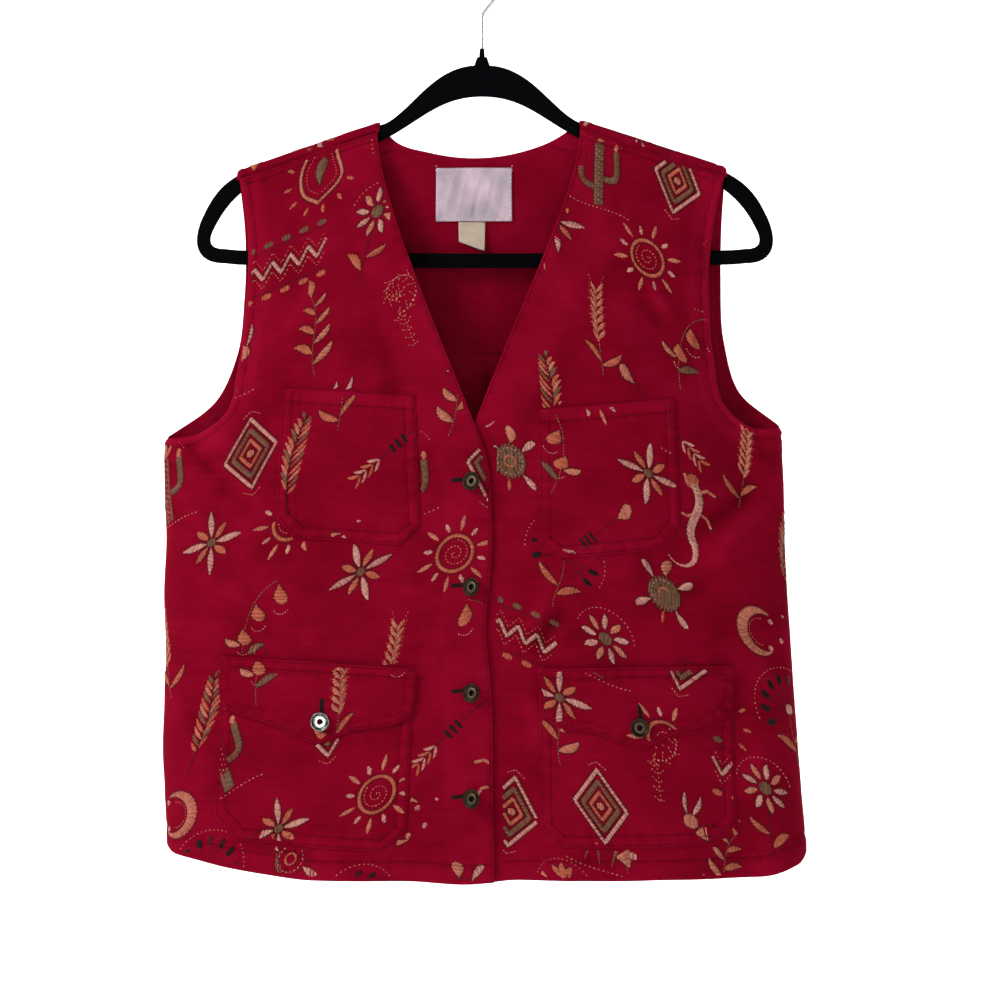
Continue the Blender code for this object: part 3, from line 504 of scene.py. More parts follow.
# %% Pockets, flaps, facing and labels
CHEST_POCKETS = {
    # x, z, width, height, rise, drift, corner, flare
    "chest_pocket_right": (-100.5, -338.6, 101.0, 113.0, -0.062, 0.0, 15.0, 8.0),
    "chest_pocket_left": (94.7, -347.7, 103.0, 113.0, 0.088, 0.02, 15.0, 3.0),
}
LOWER_POCKETS = {
    # x, z, width, height, rise, drift, corner, flare
    "lower_pocket_right": (-122.5, -551.0, 144.0, 129.0, -0.062, -0.055, 18.0, 1.0),
    "lower_pocket_left": (116.0, -554.7, 146.0, 125.5, 0.012, 0.02, 17.0, 2.0),
}
FLAP_WIDTH = 147.0
FLAP_WING = 40.0
FLAP_POINT = 60.0
FLAP_TURN = 32.0
FLAP_RISE = 9.0
FACING_FLOOR = -306.0
FACING_REACH = 138.0
FACING_TURN = 66.0
FACING_BELOW_ARM = 26.0
FACING_STEP = 2.5
LABEL = (-6.2, -162.5, 59.0, 41.0)
CARE_LABEL = (-8.0, -204.0, 20.5, 14.6)
CARE_SLANT = 7.8
CARE_CURL = 4.0
BUTTON_X = -6.8
BUTTON_TOP_Z = -406.5
BUTTON_PITCH = 79.0
FRONT_BUTTONS = 4
FLAP_BUTTONS = {"right": (-120.0, -585.5), "left": (117.5, -590.5)}


def askew(points, middle, rise, drift):
    """Points set about a middle, lifted towards +X by rise and moved along X by drift as they go down."""
    points = np.array(points, float)
    return points + middle + np.stack([-drift * points[:, 1], rise * points[:, 0]], axis=-1)


def sides(corners):
    return [line(a, b, EDGE_STEP) for a, b in zip(corners, corners[1:] + corners[:1])]


def pocket_runs(x, z, width, height, rise, drift, corner, flare):
    """A patch pocket with its two lower corners cut off: its mouth, and the rest of its edge."""
    mouth, foot, top, low = width / 2, (width + flare) / 2, corner - height, -height
    corners = [(-mouth, 0), (mouth, 0), (foot, top), (foot - corner, low)]
    corners += [(corner - foot, low), (-foot, top)]
    runs = [paper(askew(run, (x, z), rise, drift)) for run in sides(corners)]
    return runs[0], joined(*runs[1:])


def flap_outline(x, z, rise, drift):
    """A flap with rounded wings that dip to a point in the middle."""
    half, wing, point = FLAP_WIDTH / 2, FLAP_WING, FLAP_POINT
    turn = (-half + FLAP_TURN, -wing - 6)
    side = line((-half, 0), (-half, -wing * 0.55), EDGE_STEP)
    wing_edge = bezier([(-half, -wing * 0.55), (-half + 1, -wing), (-half + 12, -wing - 3), turn], EDGE_STEP)
    dip = bezier([turn, (-half + 50, -wing - 9), (-12, -point + 2), (0, -point)], EDGE_STEP)
    half_edge = np.concatenate([side, wing_edge[1:], dip[1:]])
    other = half_edge[::-1][1:] * (-1, 1)
    top = line((half, 0), (-half, 0), EDGE_STEP)[1:-1]
    return paper(askew(np.concatenate([half_edge, other, top]), (x, z + FLAP_RISE), rise, drift))


def rectangle(x, z, width, height, slant=0.0):
    half = width / 2
    corners = [(x - half, z), (x + half, z), (x + half, z - height - slant), (x - half, z - height)]
    return paper(joined(*sides(corners)))


def facing_outline():
    """The back facing: the neck's curve, the slope below the hanger's arms, and a straight foot."""
    neck = through(BACK_NECK, EDGE_STEP)
    neck = neck[np.abs(neck[:, 0]) < FACING_TURN - 12] - (0, FACING_STEP)
    left = [(x, float(crest(x)) - FACING_BELOW_ARM) for x in np.arange(FACING_TURN, FACING_REACH, EDGE_STEP)]
    left.append((FACING_REACH, float(crest(FACING_REACH)) - FACING_BELOW_ARM))
    right = [(-x, z) for x, z in left[::-1]]
    foot = line((FACING_REACH, FACING_FLOOR), (-FACING_REACH, FACING_FLOOR), EDGE_STEP)
    down, up = line(left[-1], foot[0], EDGE_STEP)[1:-1], line(foot[-1], right[0], EDGE_STEP)[1:-1]
    return paper(joined(np.array(left), down, foot, up, np.array(right), neck))


POCKET_RUNS = {name: pocket_runs(*row) for name, row in {**CHEST_POCKETS, **LOWER_POCKETS}.items()}
POCKET_LOOPS = {name: joined(*runs) for name, runs in POCKET_RUNS.items()}
FLAP_LOOPS = {
    name.replace("lower_pocket", "flap"): flap_outline(row[0], row[1], row[4], row[5])
    for name, row in LOWER_POCKETS.items()
}
print("pieces that are sewn on:", len(POCKET_LOOPS) + len(FLAP_LOOPS) + 3)

# %% [markdown]
# ## Cutting and hanging a panel
#
# A panel is triangulated on the flat, where that is easy, and then each point is hung on the form.
# Three rings of points follow the edge closely, so the edge can be rolled like folded cloth instead
# of ending in a square cut. Stitching draws the cloth down and puffs it between two rows, and that
# relief is a function of the distance to the edge.

# %% Triangulate flat cloth
def inside(points, outline):
    """Which points lie within a closed outline."""
    x, y = points.T
    found = np.zeros(len(points), bool)
    for (x0, y0), (x1, y1) in zip(outline, np.roll(outline, -1, axis=0)):
        crosses = (y0 > y) != (y1 > y)
        reach = (x1 - x0) * (y - y0) / np.where(y1 == y0, 1, y1 - y0) + x0
        found ^= crosses & (x < reach)
    return found


def along_path(points, path):
    """Distance of each point to an open path, and how far along the path its nearest place is."""
    nearest, place, gone = np.full(len(points), np.inf), np.zeros(len(points)), 0.0
    for start, end in zip(path[:-1], path[1:]):
        run = end - start
        long = np.linalg.norm(run)
        t = np.clip((points - start) @ run / max(long * long, 1e-9), 0, 1)
        away = np.linalg.norm(points - start - t[:, None] * run, axis=1)
        closer = away < nearest
        nearest = np.where(closer, away, nearest)
        place = np.where(closer, gone + t * long, place)
        gone += long
    return nearest, place


def clearance(points, outline):
    return along_path(points, closed(outline))[0]


def inset(outline, distance):
    """An outline moved inwards, without the points that would crowd at corners."""
    side = left_of(np.roll(outline, -1, axis=0) - np.roll(outline, 1, axis=0))
    for sign in (1, -1):
        moved = outline + sign * distance * side
        if inside(moved, outline).mean() > 0.6:
            break
    return moved[inside(moved, outline) & (clearance(moved, outline) > distance * 0.93)]


ROLL_RINGS = (0.45, 1.1, 2.4)  # distances of the rings that shape the rolled edge
ROW_SIDES = (-1.3, 0.0, 1.3)  # a ring on each side of a row of stitches, and one on it


def cut(outline, step, folded=(), rows=()):
    """A panel's flat points and triangles, finer beside its rows of stitches and along its fold lines."""
    distances = [*ROLL_RINGS, *(row + side for row in rows for side in ROW_SIDES)]
    low, high = outline.min(axis=0), outline.max(axis=0)
    across = np.arange(low[0], high[0], step)
    down = np.arange(low[1], high[1], step * 0.87)
    grid = np.array([(g + (step / 2 if i % 2 else 0), d) for i, d in enumerate(down) for g in across])
    away = clearance(grid, outline)
    apart = np.abs(away[:, None] - np.array(distances)).min(axis=1)
    grid = grid[inside(grid, outline) & (away > ROLL_RINGS[-1]) & (apart > step * 0.42)]
    rings = [inset(outline, distance) for distance in distances]
    if len(folded):
        grid = grid[np.abs(grid[:, 1]) > RIDGE_TURNS[0] + step * 0.4]
        rings = [ring[ring[:, 1] > RIDGE_TURNS[0] + 1] for ring in rings]
    points = np.concatenate([outline, *folded, *rings, grid])
    count = len(outline)
    edges = [(i, (i + 1) % count) for i in range(count)]
    first = count
    for run in folded:
        edges += [(first + i, first + i + 1) for i in range(len(run) - 1)]
        first += len(run)
    flat, _, triangles, *_ = delaunay_2d_cdt([Vector(p) for p in points], edges, [], 0, 1e-4)
    flat, triangles = np.array([tuple(p) for p in flat]), np.array(triangles)
    return flat, triangles[inside(flat[triangles].mean(axis=1), outline)]


# %% Objects of the scene
def add_object(name, data):
    obj = bpy.data.objects.new(name, data)
    bpy.context.scene.collection.objects.link(obj)
    return obj


def add_mesh(name, points, faces, **values):
    """A smooth mesh from points in millimetres, with a number kept at each point under each name."""
    mesh = bpy.data.meshes.new(name)
    mesh.from_pydata((points * MM).tolist(), [], faces)
    mesh.update()
    mesh.shade_smooth()
    for label, value in values.items():
        mesh.attributes.new(label, "FLOAT", "POINT").data.foreach_set("value", value)
    return add_object(name, mesh)


# %% Hang flat cloth as a closed thin shell
CREASE_SHADE_AND_WEAR = 0.8  # share of a crease's height painted into the cloth's tone: painted shade in its trough, wear on its ridge
INSIDE_PAINTED_LIGHT = 0.4  # the inner side is painted paler: painted light in the shaded inside of the vest

EDGE_WEAR = 3.5  # how far the rubbing at an edge reaches in


def hang(name, flat, triangles, outline, face, low, high, relief=None):
    """A shell between two heights above the form, with a rolled edge. The relief is on its outer side."""
    places, normals = form(*flat.T, face), outward(*flat.T, face)
    low, high = (np.broadcast_to(h, len(flat)).astype(float) for h in (low, high))
    to_edge = clearance(flat, outline)
    roll = 0.42 * (high - low) * (1 - np.sqrt(np.clip(to_edge / ROLL_RINGS[1], 0, 1)))
    outer = high - roll + (0 if relief is None else relief)
    points = np.concatenate([places + normals * height[:, None] for height in (outer, low + roll)])
    a, b, c = flat[triangles].transpose(1, 0, 2)
    wrong = ((b[:, 0] - a[:, 0]) * (c[:, 1] - a[:, 1]) - (b[:, 1] - a[:, 1]) * (c[:, 0] - a[:, 0])) * face < 0
    triangles = triangles.copy()
    triangles[wrong] = triangles[wrong][:, ::-1]
    edges = np.concatenate([triangles[:, [0, 1]], triangles[:, [1, 2]], triangles[:, [2, 0]]])
    known = {tuple(edge) for edge in edges.tolist()}
    count = len(flat)
    faces = [tuple(t) for t in triangles.tolist()]
    faces += [(c + count, b + count, a + count) for a, b, c in triangles.tolist()]
    faces += [(b, a, a + count, b + count) for a, b in sorted(e for e in known if e[::-1] not in known)]
    creases = FRONT_CREASES if face == FRONT else BACK_CREASES
    # The relief is kept as raised and painted into the cloth's tone: painted shade in dips and stitched
    # grooves, paler ridges as wear.
    raised = CREASE_SHADE_AND_WEAR * crease_height(*places[:, [0, 2]].T, creases)
    wrong_side = -raised
    if relief is not None:
        raised = raised + relief
        # The inner side is painted paler here, as painted light in the shaded inside seen through the neck
        # and armholes.
        wrong_side = INSIDE_PAINTED_LIGHT - raised
    near_edge = np.tile(np.exp(-to_edge / EDGE_WEAR), 2)
    obj = add_mesh(name, points, faces, near_edge=near_edge, raised=np.concatenate([raised, wrong_side]))
    grain = np.tile(np.column_stack([flat[:, 0], places[:, 2], np.zeros(count)]) * MM, (2, 1))
    obj.data.attributes.new("cloth_place", "FLOAT_VECTOR", "POINT").data.foreach_set("vector", grain.ravel())
    return obj


# %% Relief that the sewing gives to the cloth
def wobble(at, seed):
    """An uneven wave between -1 and 1 along a seam."""
    waves = ((0.5, 0.47, 1), (0.3, 0.83, 2.1), (0.2, 1.51, 0.7))
    return sum(high * np.sin(at * quick + shift * seed) for high, quick, shift in waves)


def stitched_edge(flat, path, rows, seed, puff=0.46, pucker=0.34, groove=0.46):
    """Dips at the rows of stitches, puffs between them and the edge, and puckers across them."""
    away, at = along_path(flat, path)
    total = np.zeros(len(flat))
    for row in rows:
        total -= groove * np.exp(-(((away - row) / 1.2) ** 2))
        total += pucker * wobble(at, seed + row) * np.exp(-(((away - row) / 5.0) ** 2))
    for low, high in zip((0.0, *rows), rows):
        if high - low > 4:
            total += puff * np.exp(-(((away - (low + high) / 2) / (0.34 * (high - low))) ** 2))
    return total


def facing_step(flat, path, reach, seed, rise=0.6):
    """The cloth lies higher over the facing inside, whose edge shows as a soft step."""
    away, at = along_path(flat, path)
    border = reach + 1.2 * wobble(at * 0.3, seed)
    return rise * (1 - ramp(away, border - 2.2, border + 2.2))


print("outline points:", len(RIGHT_OUTLINE), len(LEFT_OUTLINE), len(BACK_OUTLINE))

# %% [markdown]
# ## Threads
#
# A stitch is a short raised lozenge of thread that dives into the cloth at both ends. Sewing rows,
# buttonholes and embroidery are all made of it. Every stitch is laid on the finished cloth by a ray
# that comes in along the form's normal, so it follows the creases and the pockets by itself.

# %% Find the cloth's surface
REACH = 9.0


def skin(*pieces):
    """A tree for finding where a ray meets any of the pieces."""
    points, faces = [], []
    for piece in pieces:
        first = len(points)
        points += [v.co.copy() for v in piece.data.vertices]
        faces += [tuple(first + i for i in p.vertices) for p in piece.data.polygons]
    return BVHTree.FromPolygons(points, faces)


def settle(flat, face, tree, inner=False):
    """Places and normals on the finished cloth's outer or inner side. A point that misses is not a number."""
    starts, normals = form(*flat.T, face), outward(*flat.T, face)
    if inner:
        normals = -normals
    places = np.full((len(flat), 3), np.nan)
    for i, (start, normal) in enumerate(zip(starts, normals)):
        hit = tree.ray_cast(Vector((start + normal * REACH) * MM), Vector(-normal), 2 * REACH * MM)[0]
        if hit is not None:
            places[i] = np.array(hit) / MM
    return places, normals


# %% Lay stitches
def sew(name, starts, ends, normals, widths, high=0.5):
    """One mesh of stitches: four-sided threads between two places, as high as a share of their width."""
    starts, ends, normals = (np.asarray(v, float) for v in (starts, ends, normals))
    widths = np.broadcast_to(widths, len(starts))[:, None]
    long = np.linalg.norm(ends - starts, axis=1)
    good = np.isfinite(long) & (long > 0.25) & (long < 30)
    starts, ends, normals, widths, long = (v[good] for v in (starts, ends, normals, widths, long))
    run = (ends - starts) / long[:, None]
    side = np.cross(normals, run)
    side /= np.linalg.norm(side, axis=1, keepdims=True)
    top = np.cross(run, side)
    lift, half = widths * high, widths / 2
    shoulder = np.minimum(0.25 * long, 0.8)[:, None]
    rows = [starts - top * 0.15]
    for middle in (starts + run * shoulder, ends - run * shoulder):
        rows += [middle + side * half, middle + top * lift, middle - side * half, middle - top * 0.15]
    rows.append(ends - top * 0.15)
    pattern = [(0, 1 + (i + 1) % 4, 1 + i) for i in range(4)]
    pattern += [(1 + i, 1 + (i + 1) % 4, 5 + (i + 1) % 4, 5 + i) for i in range(4)]
    pattern += [(9, 5 + i, 5 + (i + 1) % 4) for i in range(4)]
    faces = [tuple(10 * n + i for i in face) for n in range(len(starts)) for face in pattern]
    strand = np.repeat(np.arange(len(starts)) * 0.618 % 1, 10)
    return add_mesh(name, np.stack(rows, axis=1).reshape(-1, 3), faces, strand=strand)


def dashes(path, long, gap):
    """Starts and ends of stitches along an open path."""
    along = lengths_along(path)
    first = np.arange(0.5 * gap, along[-1] - long, long + gap)
    ends = first, first + long
    return [np.stack([np.interp(at, along, path[:, i]) for i in (0, 1)], axis=-1) for at in ends]


def beside(path, distance, toward):
    """A path moved sideways towards a flat point, for a row of stitches beside an edge."""
    side = left_of(np.gradient(path, axis=0))
    if np.median(((toward - path) * side).sum(axis=1)) < 0:
        side = -side
    return path + distance * side


print("a stitch has", 12, "faces")

# %% [markdown]
# ## Cloth and thread finishes
#
# The weave is one shader node group, because the body cloth, the facing and the labels all use it. It
# reads the place on the flat cloth that every panel stores, so the diagonal wale follows the cut. The
# washed cotton also has fine wavy streaks across the panel, which a second group makes.

# %% Shader nodes made simple
class Nodes:
    """Adds nodes to one tree and gives their inputs values or links."""

    def __init__(self, tree):
        self.tree = tree

    def feed(self, node, inputs):
        for key, value in inputs.items():
            if isinstance(value, bpy.types.NodeSocket):
                self.tree.links.new(value, node.inputs[key])
            else:
                node.inputs[key].default_value = value

    def add(self, kind, inputs=None, **settings):
        node = self.tree.nodes.new("ShaderNode" + kind)
        for key, value in settings.items():
            setattr(node, key, value)
        self.feed(node, inputs or {})
        return node

    def kept(self, name):
        """A value that the mesh keeps at each point."""
        return self.add("Attribute", attribute_name=name).outputs

    def maths(self, operation, *values):
        return self.add("Math", dict(enumerate(values)), operation=operation).outputs[0]

    def mixed(self, start, *parts):
        """A start and each part times its share, added up."""
        for value, share in parts:
            start = self.maths("MULTIPLY_ADD", value, share, start)
        return start

    def noise(self, place, scale, detail=2, **more):
        inputs = {"Vector": place, "Scale": scale, "Detail": detail, **more}
        return self.add("TexNoise", inputs).outputs["Fac"]

    def object_noise(self, scale, detail=2):
        return self.noise(self.add("TexCoord").outputs["Object"], scale, detail)

    def tones(self, share, low, high, *between):
        """A colour picked by share, between a low and a high stop of place and colour."""
        node = self.add("ValToRGB", {"Fac": share})
        stops = node.color_ramp.elements
        for stop, (place, colour) in zip((stops[0], stops[1]), (low, high)):
            stop.position, stop.color = place, (*colour, 1)
        for place, colour in between:
            stops.new(place).color = (*colour, 1)
        return node.outputs["Color"]

    def bump(self, height, strength, distance):
        inputs = {"Height": height, "Strength": strength, "Distance": distance}
        return self.add("Bump", inputs).outputs["Normal"]


def new_material(name, roughness, colour, metallic=0.0):
    made = bpy.data.materials.new(name)
    made.use_nodes = True
    made.diffuse_color = (*colour, 1)
    nodes, surface = Nodes(made.node_tree), made.node_tree.nodes["Principled BSDF"]
    nodes.feed(surface, {"Roughness": roughness, "Metallic": metallic, "Base Color": (*colour, 1)})
    return made, nodes, surface


def new_group(name, inputs, outputs):
    """A shader node group that takes a place and named values and gives named numbers."""
    tree = bpy.data.node_groups.new(name, "ShaderNodeTree")
    tree.interface.new_socket("Place", in_out="INPUT", socket_type="NodeSocketVector")
    for label, value in inputs.items():
        kind = "NodeSocketFloat" if isinstance(value, float) else "NodeSocketVector"
        tree.interface.new_socket(label, in_out="INPUT", socket_type=kind).default_value = value
    for label in outputs:
        tree.interface.new_socket(label, in_out="OUTPUT", socket_type="NodeSocketFloat")
    given, result = tree.nodes.new("NodeGroupInput"), tree.nodes.new("NodeGroupOutput")
    return tree, Nodes(tree), given.outputs, result


# %% Group: diagonal twill weave
def weave_group():
    tree, nodes, given, result = new_group("twill weave", {"Thread": 0.0006, "Slope": 1.0}, ("Wale", "Yarn"))
    place = nodes.add("SeparateXYZ", {0: given["Place"]}).outputs
    across = nodes.maths("ADD", nodes.maths("MULTIPLY", place["X"], given["Slope"]), place["Y"])
    for label, way, turns in (("Wale", across, 2 * pi), ("Yarn", place["Y"], 4 * pi)):
        turned = nodes.maths("MULTIPLY", nodes.maths("DIVIDE", way, given["Thread"]), turns)
        nodes.feed(result, {label: nodes.maths("MULTIPLY_ADD", nodes.maths("SINE", turned), 0.5, 0.5)})
    return tree


WEAVE = weave_group()

# %% Group: washed streaks, patches and fuzz
def washed_group():
    inputs = {"Streak": 260.0, "Stretch": (0.16, 1.0, 1.0)}
    tree, nodes, given, result = new_group("washed cotton", inputs, ("Streaks", "Patches", "Fuzz"))
    place = given["Place"]
    stretched = nodes.add("VectorMath", {0: place, 1: given["Stretch"]}, operation="MULTIPLY").outputs[0]
    found = {
        "Streaks": nodes.noise(stretched, given["Streak"], 3, Distortion=0.35),
        "Patches": nodes.noise(place, 19, 6, Roughness=0.6),
        "Fuzz": nodes.noise(place, 1400),
    }
    nodes.feed(result, found)
    return tree


WASHED = washed_group()
WIDE_STREAKS = (0.16, 1, 1)
TALL_STREAKS = (1.0, 0.4, 1.0)
SHEEN_TINT = (1.0, 0.005, 0.10, 1)

# %% Cloths
def cloth_material(
    name, deep, plain, pale, thread, wear_and_shade, bump, streak=300, stretch=WIDE_STREAKS, roughness=0.88, shine=0.01
):
    """Woven cloth between three colours: deep, plain and pale. Dips are painted deep as painted shade, and
    ridges and rubbed edges pale as wear.
    """
    made, nodes, surface = new_material(name, roughness, plain)
    place = nodes.kept("cloth_place")["Vector"]
    weave = nodes.add("Group", {"Place": place, "Thread": thread, "Slope": 1.3}, node_tree=WEAVE)
    washed = nodes.add("Group", {"Place": place, "Streak": streak, "Stretch": stretch}, node_tree=WASHED)
    wale, yarn = (weave.outputs[label] for label in ("Wale", "Yarn"))
    streaks, patches, fuzz = (washed.outputs[label] for label in ("Streaks", "Patches", "Fuzz"))
    rubbed = nodes.maths("MULTIPLY", nodes.kept("near_edge")["Fac"], fuzz)
    raised = nodes.kept("raised")["Fac"]
    tone = nodes.mixed(0.01, (streaks, 0.25), (patches, 0.55), (wale, 0.05), (fuzz, 0.2))
    # Rubbed edges are paler as wear; the relief paints shade into dips and grooves and wear onto ridges.
    tone = nodes.mixed(tone, (rubbed, 0.3 * wear_and_shade), (raised, 0.34 * wear_and_shade))
    height = nodes.mixed(wale, (yarn, 0.35), (streaks, 2.6), (fuzz, 1.2))
    finish = {
        "Base Color": nodes.tones(tone, (0.3, deep), (0.72, pale), (0.5, plain)),
        "Normal": nodes.bump(height, bump, 0.00022),
        "Sheen Weight": 0.05,
        "Sheen Roughness": 0.6,
        "Sheen Tint": SHEEN_TINT,
        "Specular IOR Level": shine,
    }
    nodes.feed(surface, finish)
    return made


RED_TONES = (0.082, 0.0004, 0.0044), (0.132, 0.0007, 0.0078), (0.180, 0.0016, 0.0130)
# The satin label's own grey-lilac, with dark-grey and pale-pink streaks painted on as painted sheen.
SATIN_TONES_AND_SHEEN = (0.105, 0.105, 0.125), (0.255, 0.205, 0.240), (0.56, 0.40, 0.46)
TAPE_TONES = (0.24, 0.18, 0.14), (0.34, 0.27, 0.21), (0.45, 0.37, 0.3)
RED_TWILL = cloth_material("crimson twill", *RED_TONES, 0.0006, 0.5, 0.35)
SATIN = cloth_material("blank satin", *SATIN_TONES_AND_SHEEN, 0.0003, 0.2, 0.2, 80, TALL_STREAKS, 0.38, 0.6)
TAPE = cloth_material("blank cream tape", *TAPE_TONES, 0.0004, 0.2, 0.2)

# %% Threads
def thread_material(name, colour, shade, shine=0.35):
    """Lustrous twisted thread, whose tone changes from stitch to stitch."""
    made, nodes, surface = new_material(name, 0.5, colour)
    noise = nodes.object_noise(900)
    share = nodes.mixed(0.0, (noise, 0.7), (nodes.kept("strand")["Fac"], 0.3))
    finish = {
        "Base Color": nodes.tones(share, (0.32, shade), (0.68, colour)),
        "Normal": nodes.bump(noise, 0.4, 0.0001),
        "Specular IOR Level": shine,
    }
    nodes.feed(surface, finish)
    return made


THREAD_ROWS = {
    # lit colour, shade, and for dull threads their shine
    "cream": ((0.56, 0.28, 0.22), (0.24, 0.07, 0.06)),
    "peach": ((0.50, 0.17, 0.10), (0.24, 0.05, 0.03)),
    "coral": ((0.46, 0.11, 0.05), (0.22, 0.03, 0.014)),
    "olive": ((0.17, 0.075, 0.03), (0.06, 0.018, 0.008)),
    "black": ((0.016, 0.004, 0.005), (0.007, 0.002, 0.003), 0.12),
    "silver": ((0.74, 0.60, 0.64), (0.40, 0.30, 0.34)),
    "dark red": ((0.066, 0.0007, 0.005), (0.040, 0.0005, 0.0035), 0.03),
}
THREADS = {name: thread_material(f"{name} thread", *row) for name, row in THREAD_ROWS.items()}
print("cloths 3, threads", len(THREADS))

# %% [markdown]
# ## Where the embroidery lies
#
# Embroidery pulls on its ground, so the cloth has to know where the figures are before it is made.
# They stand in staggered rows over the whole cloth, each moved and tilted a little, and the outlines
# of the pieces cut through them.

# %% Lay the figures out
FIGURE_PITCH = 73.0
FIGURE_PLAY = 8.0
FIGURE_SCALE = 1.2
FIGURE_RIPPLE = 0.22
FIGURE_COUNT = 18


def scatter(outline, seed):
    """Figures in staggered rows over a piece, each moved and tilted a little."""
    chance = np.random.default_rng(seed)
    low, high = outline.min(axis=0), outline.max(axis=0)
    figures = []
    for i, drop in enumerate(np.arange(low[1] + 18, high[1] + 20, FIGURE_PITCH * 0.88)):
        for j, girth in enumerate(np.arange(low[0] + (12 if i % 2 else 44), high[0] + 20, FIGURE_PITCH)):
            across, down = chance.uniform(-FIGURE_PLAY, FIGURE_PLAY, 2)
            figure = (4 * i + 7 * j + seed) % FIGURE_COUNT
            figures.append((figure, girth + across, drop + down, chance.uniform(-15, 15), (-1) ** (i + j)))
    return figures


# %% [markdown]
# ## The panels
#
# The two fronts and the back are the vest's body. Each is replaced by a finer shell on the same form.
# The under front is pushed in where the upper one lies on it. Facings inside the armholes and the
# front opening show through as soft steps, and the hem is turned up and stitched 14 mm from its edge.

# %% Fronts and back
HEM_STITCH = 14.0
EDGE_STITCH = 1.8
ARM_STITCH = 6.6
SHOULDER_STITCH = 6.0
ARM_FACING = 17.0
NECK_FACING = 34.0
PANEL_ROWS = (ARM_STITCH, HEM_STITCH)
CENTRE_SEAM_X = 8.0
SEAM_GROOVE = 0.55
ALLOWANCE = 0.8  # height of the ridge that the centre seam's allowance makes inside
INNER_SEAM = 5.0
INNER_SEAM_TOP = paper([(CENTRE_SEAM_X, FACING_FLOOR)])[0, 1] + 4


def under_lap(flat):
    """How far the under front is pushed in: all of LAP below the upper front, and none well clear of it."""
    x, z = form(*flat.T, FRONT)[:, [0, 2]].T
    neck = bezier(RIGHT_NECK, 4)[::-1]
    heights, xs = (np.concatenate([column(RIGHT_EDGE_ROWS, i)[::-1], neck[1:, 1 - i]]) for i in (0, 1))
    return LAP * (1 - ramp(x - np.interp(z, heights, xs), 5, 34))


def drawn_in(flat, figures):
    """Each embroidered figure draws the cloth in, which then ripples round it."""
    total = np.zeros(len(flat))
    for i, (_, girth, drop, _, _) in enumerate(figures):
        away = np.hypot(flat[:, 0] - girth, flat[:, 1] - drop)
        way = np.arctan2(flat[:, 1] - drop, flat[:, 0] - girth)
        ripple = np.sin(3 * way + 1.7 * i) + 0.6 * np.sin(7 * way + 2.9 * i)
        total += FIGURE_RIPPLE * ripple * np.exp(-(((away - 27) / 11) ** 2))
        total -= FIGURE_RIPPLE * np.exp(-((away / 16) ** 2))
    return total


def front_relief(flat, runs, seed, figures):
    return (
        stitched_edge(flat, runs["opening"], (EDGE_STITCH,), seed)
        + stitched_edge(flat, runs["armhole"], (ARM_STITCH,), seed + 1, puff=0.7)
        + stitched_edge(flat, runs["hem"], (HEM_STITCH,), seed + 2, puff=0.3)
        + stitched_edge(flat, runs["shoulder"], (EDGE_STITCH, SHOULDER_STITCH), seed + 3)
        + facing_step(flat, runs["armhole"], ARM_FACING, seed + 4)
        + facing_step(flat, runs["opening"], NECK_FACING, seed + 5, rise=0.45)
        + drawn_in(flat, figures)
    )


def fit(piece, finish, node=None):
    """Gives a piece its finish and parents it to the root body, so it rides with the body. It may take a
    solid's place.
    """
    piece.data.materials.append(finish)
    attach(piece, "root")
    if node is not None:
        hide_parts(node)


def dress(piece, node, finish=RED_TWILL):
    """A piece takes a solid's place, in the red twill unless another finish is given."""
    fit(piece, finish, node)
    return piece


RIGHT_FIGURES, LEFT_FIGURES, BACK_FIGURES = (
    scatter(outline, seed) for outline, seed in ((RIGHT_OUTLINE, 3), (LEFT_OUTLINE, 8), (BACK_OUTLINE, 12))
)
flat, triangles = cut(RIGHT_OUTLINE, GRID_STEP, rows=PANEL_ROWS)
right_relief = front_relief(flat, RIGHT_RUNS, 1.0, RIGHT_FIGURES)
right_front = hang("right_front_cloth", flat, triangles, RIGHT_OUTLINE, FRONT, -CLOTH, 0.0, right_relief)
dress(right_front, "front_right")

flat, triangles = cut(LEFT_OUTLINE, GRID_STEP, rows=PANEL_ROWS)
push = under_lap(flat)
left_relief = front_relief(flat, LEFT_RUNS, 2.0, LEFT_FIGURES) * (1 - push / LAP)
left_front = hang("left_front_cloth", flat, triangles, LEFT_OUTLINE, FRONT, -push - CLOTH, -push, left_relief)
dress(left_front, "front_left")

BACK_SEAMS = {
    # each run's row of stitches and seed
    "hem": (HEM_STITCH, 3.1),
    "left_armhole": (ARM_STITCH, 3.3),
    "right_armhole": (ARM_STITCH, 3.5),
    "neck": (EDGE_STITCH, 3.7),
    "left_shoulder": (EDGE_STITCH, 3.9),
    "right_shoulder": (EDGE_STITCH, 4.1),
}
ends = shoulder_ends(-1), shoulder_ends(1)
ridge_lines = [line((neck, turn), (tip, turn), EDGE_STEP) for neck, tip in ends for turn in RIDGE_TURNS]
flat, triangles = cut(BACK_OUTLINE, GRID_STEP * 1.15, ridge_lines, PANEL_ROWS)
back_relief = sum(
    stitched_edge(flat, BACK_RUNS[run], (row,), seed) for run, (row, seed) in BACK_SEAMS.items()
)
back_relief += drawn_in(flat, BACK_FIGURES)
from_seam, down = flat[:, 0] - CENTRE_SEAM_X, flat[:, 1]
back_relief -= SEAM_GROOVE * np.exp(-((from_seam / 2.0) ** 2)) * ramp(down, 40, 60)
allowance = ALLOWANCE * np.exp(-((from_seam / (INNER_SEAM + 2)) ** 4))
back_low = -CLOTH - allowance * ramp(down, INNER_SEAM_TOP, INNER_SEAM_TOP + 5)
back = hang("back_cloth", flat, triangles, BACK_OUTLINE, BACK, back_low, 0.0, back_relief)
dress(back, "back")

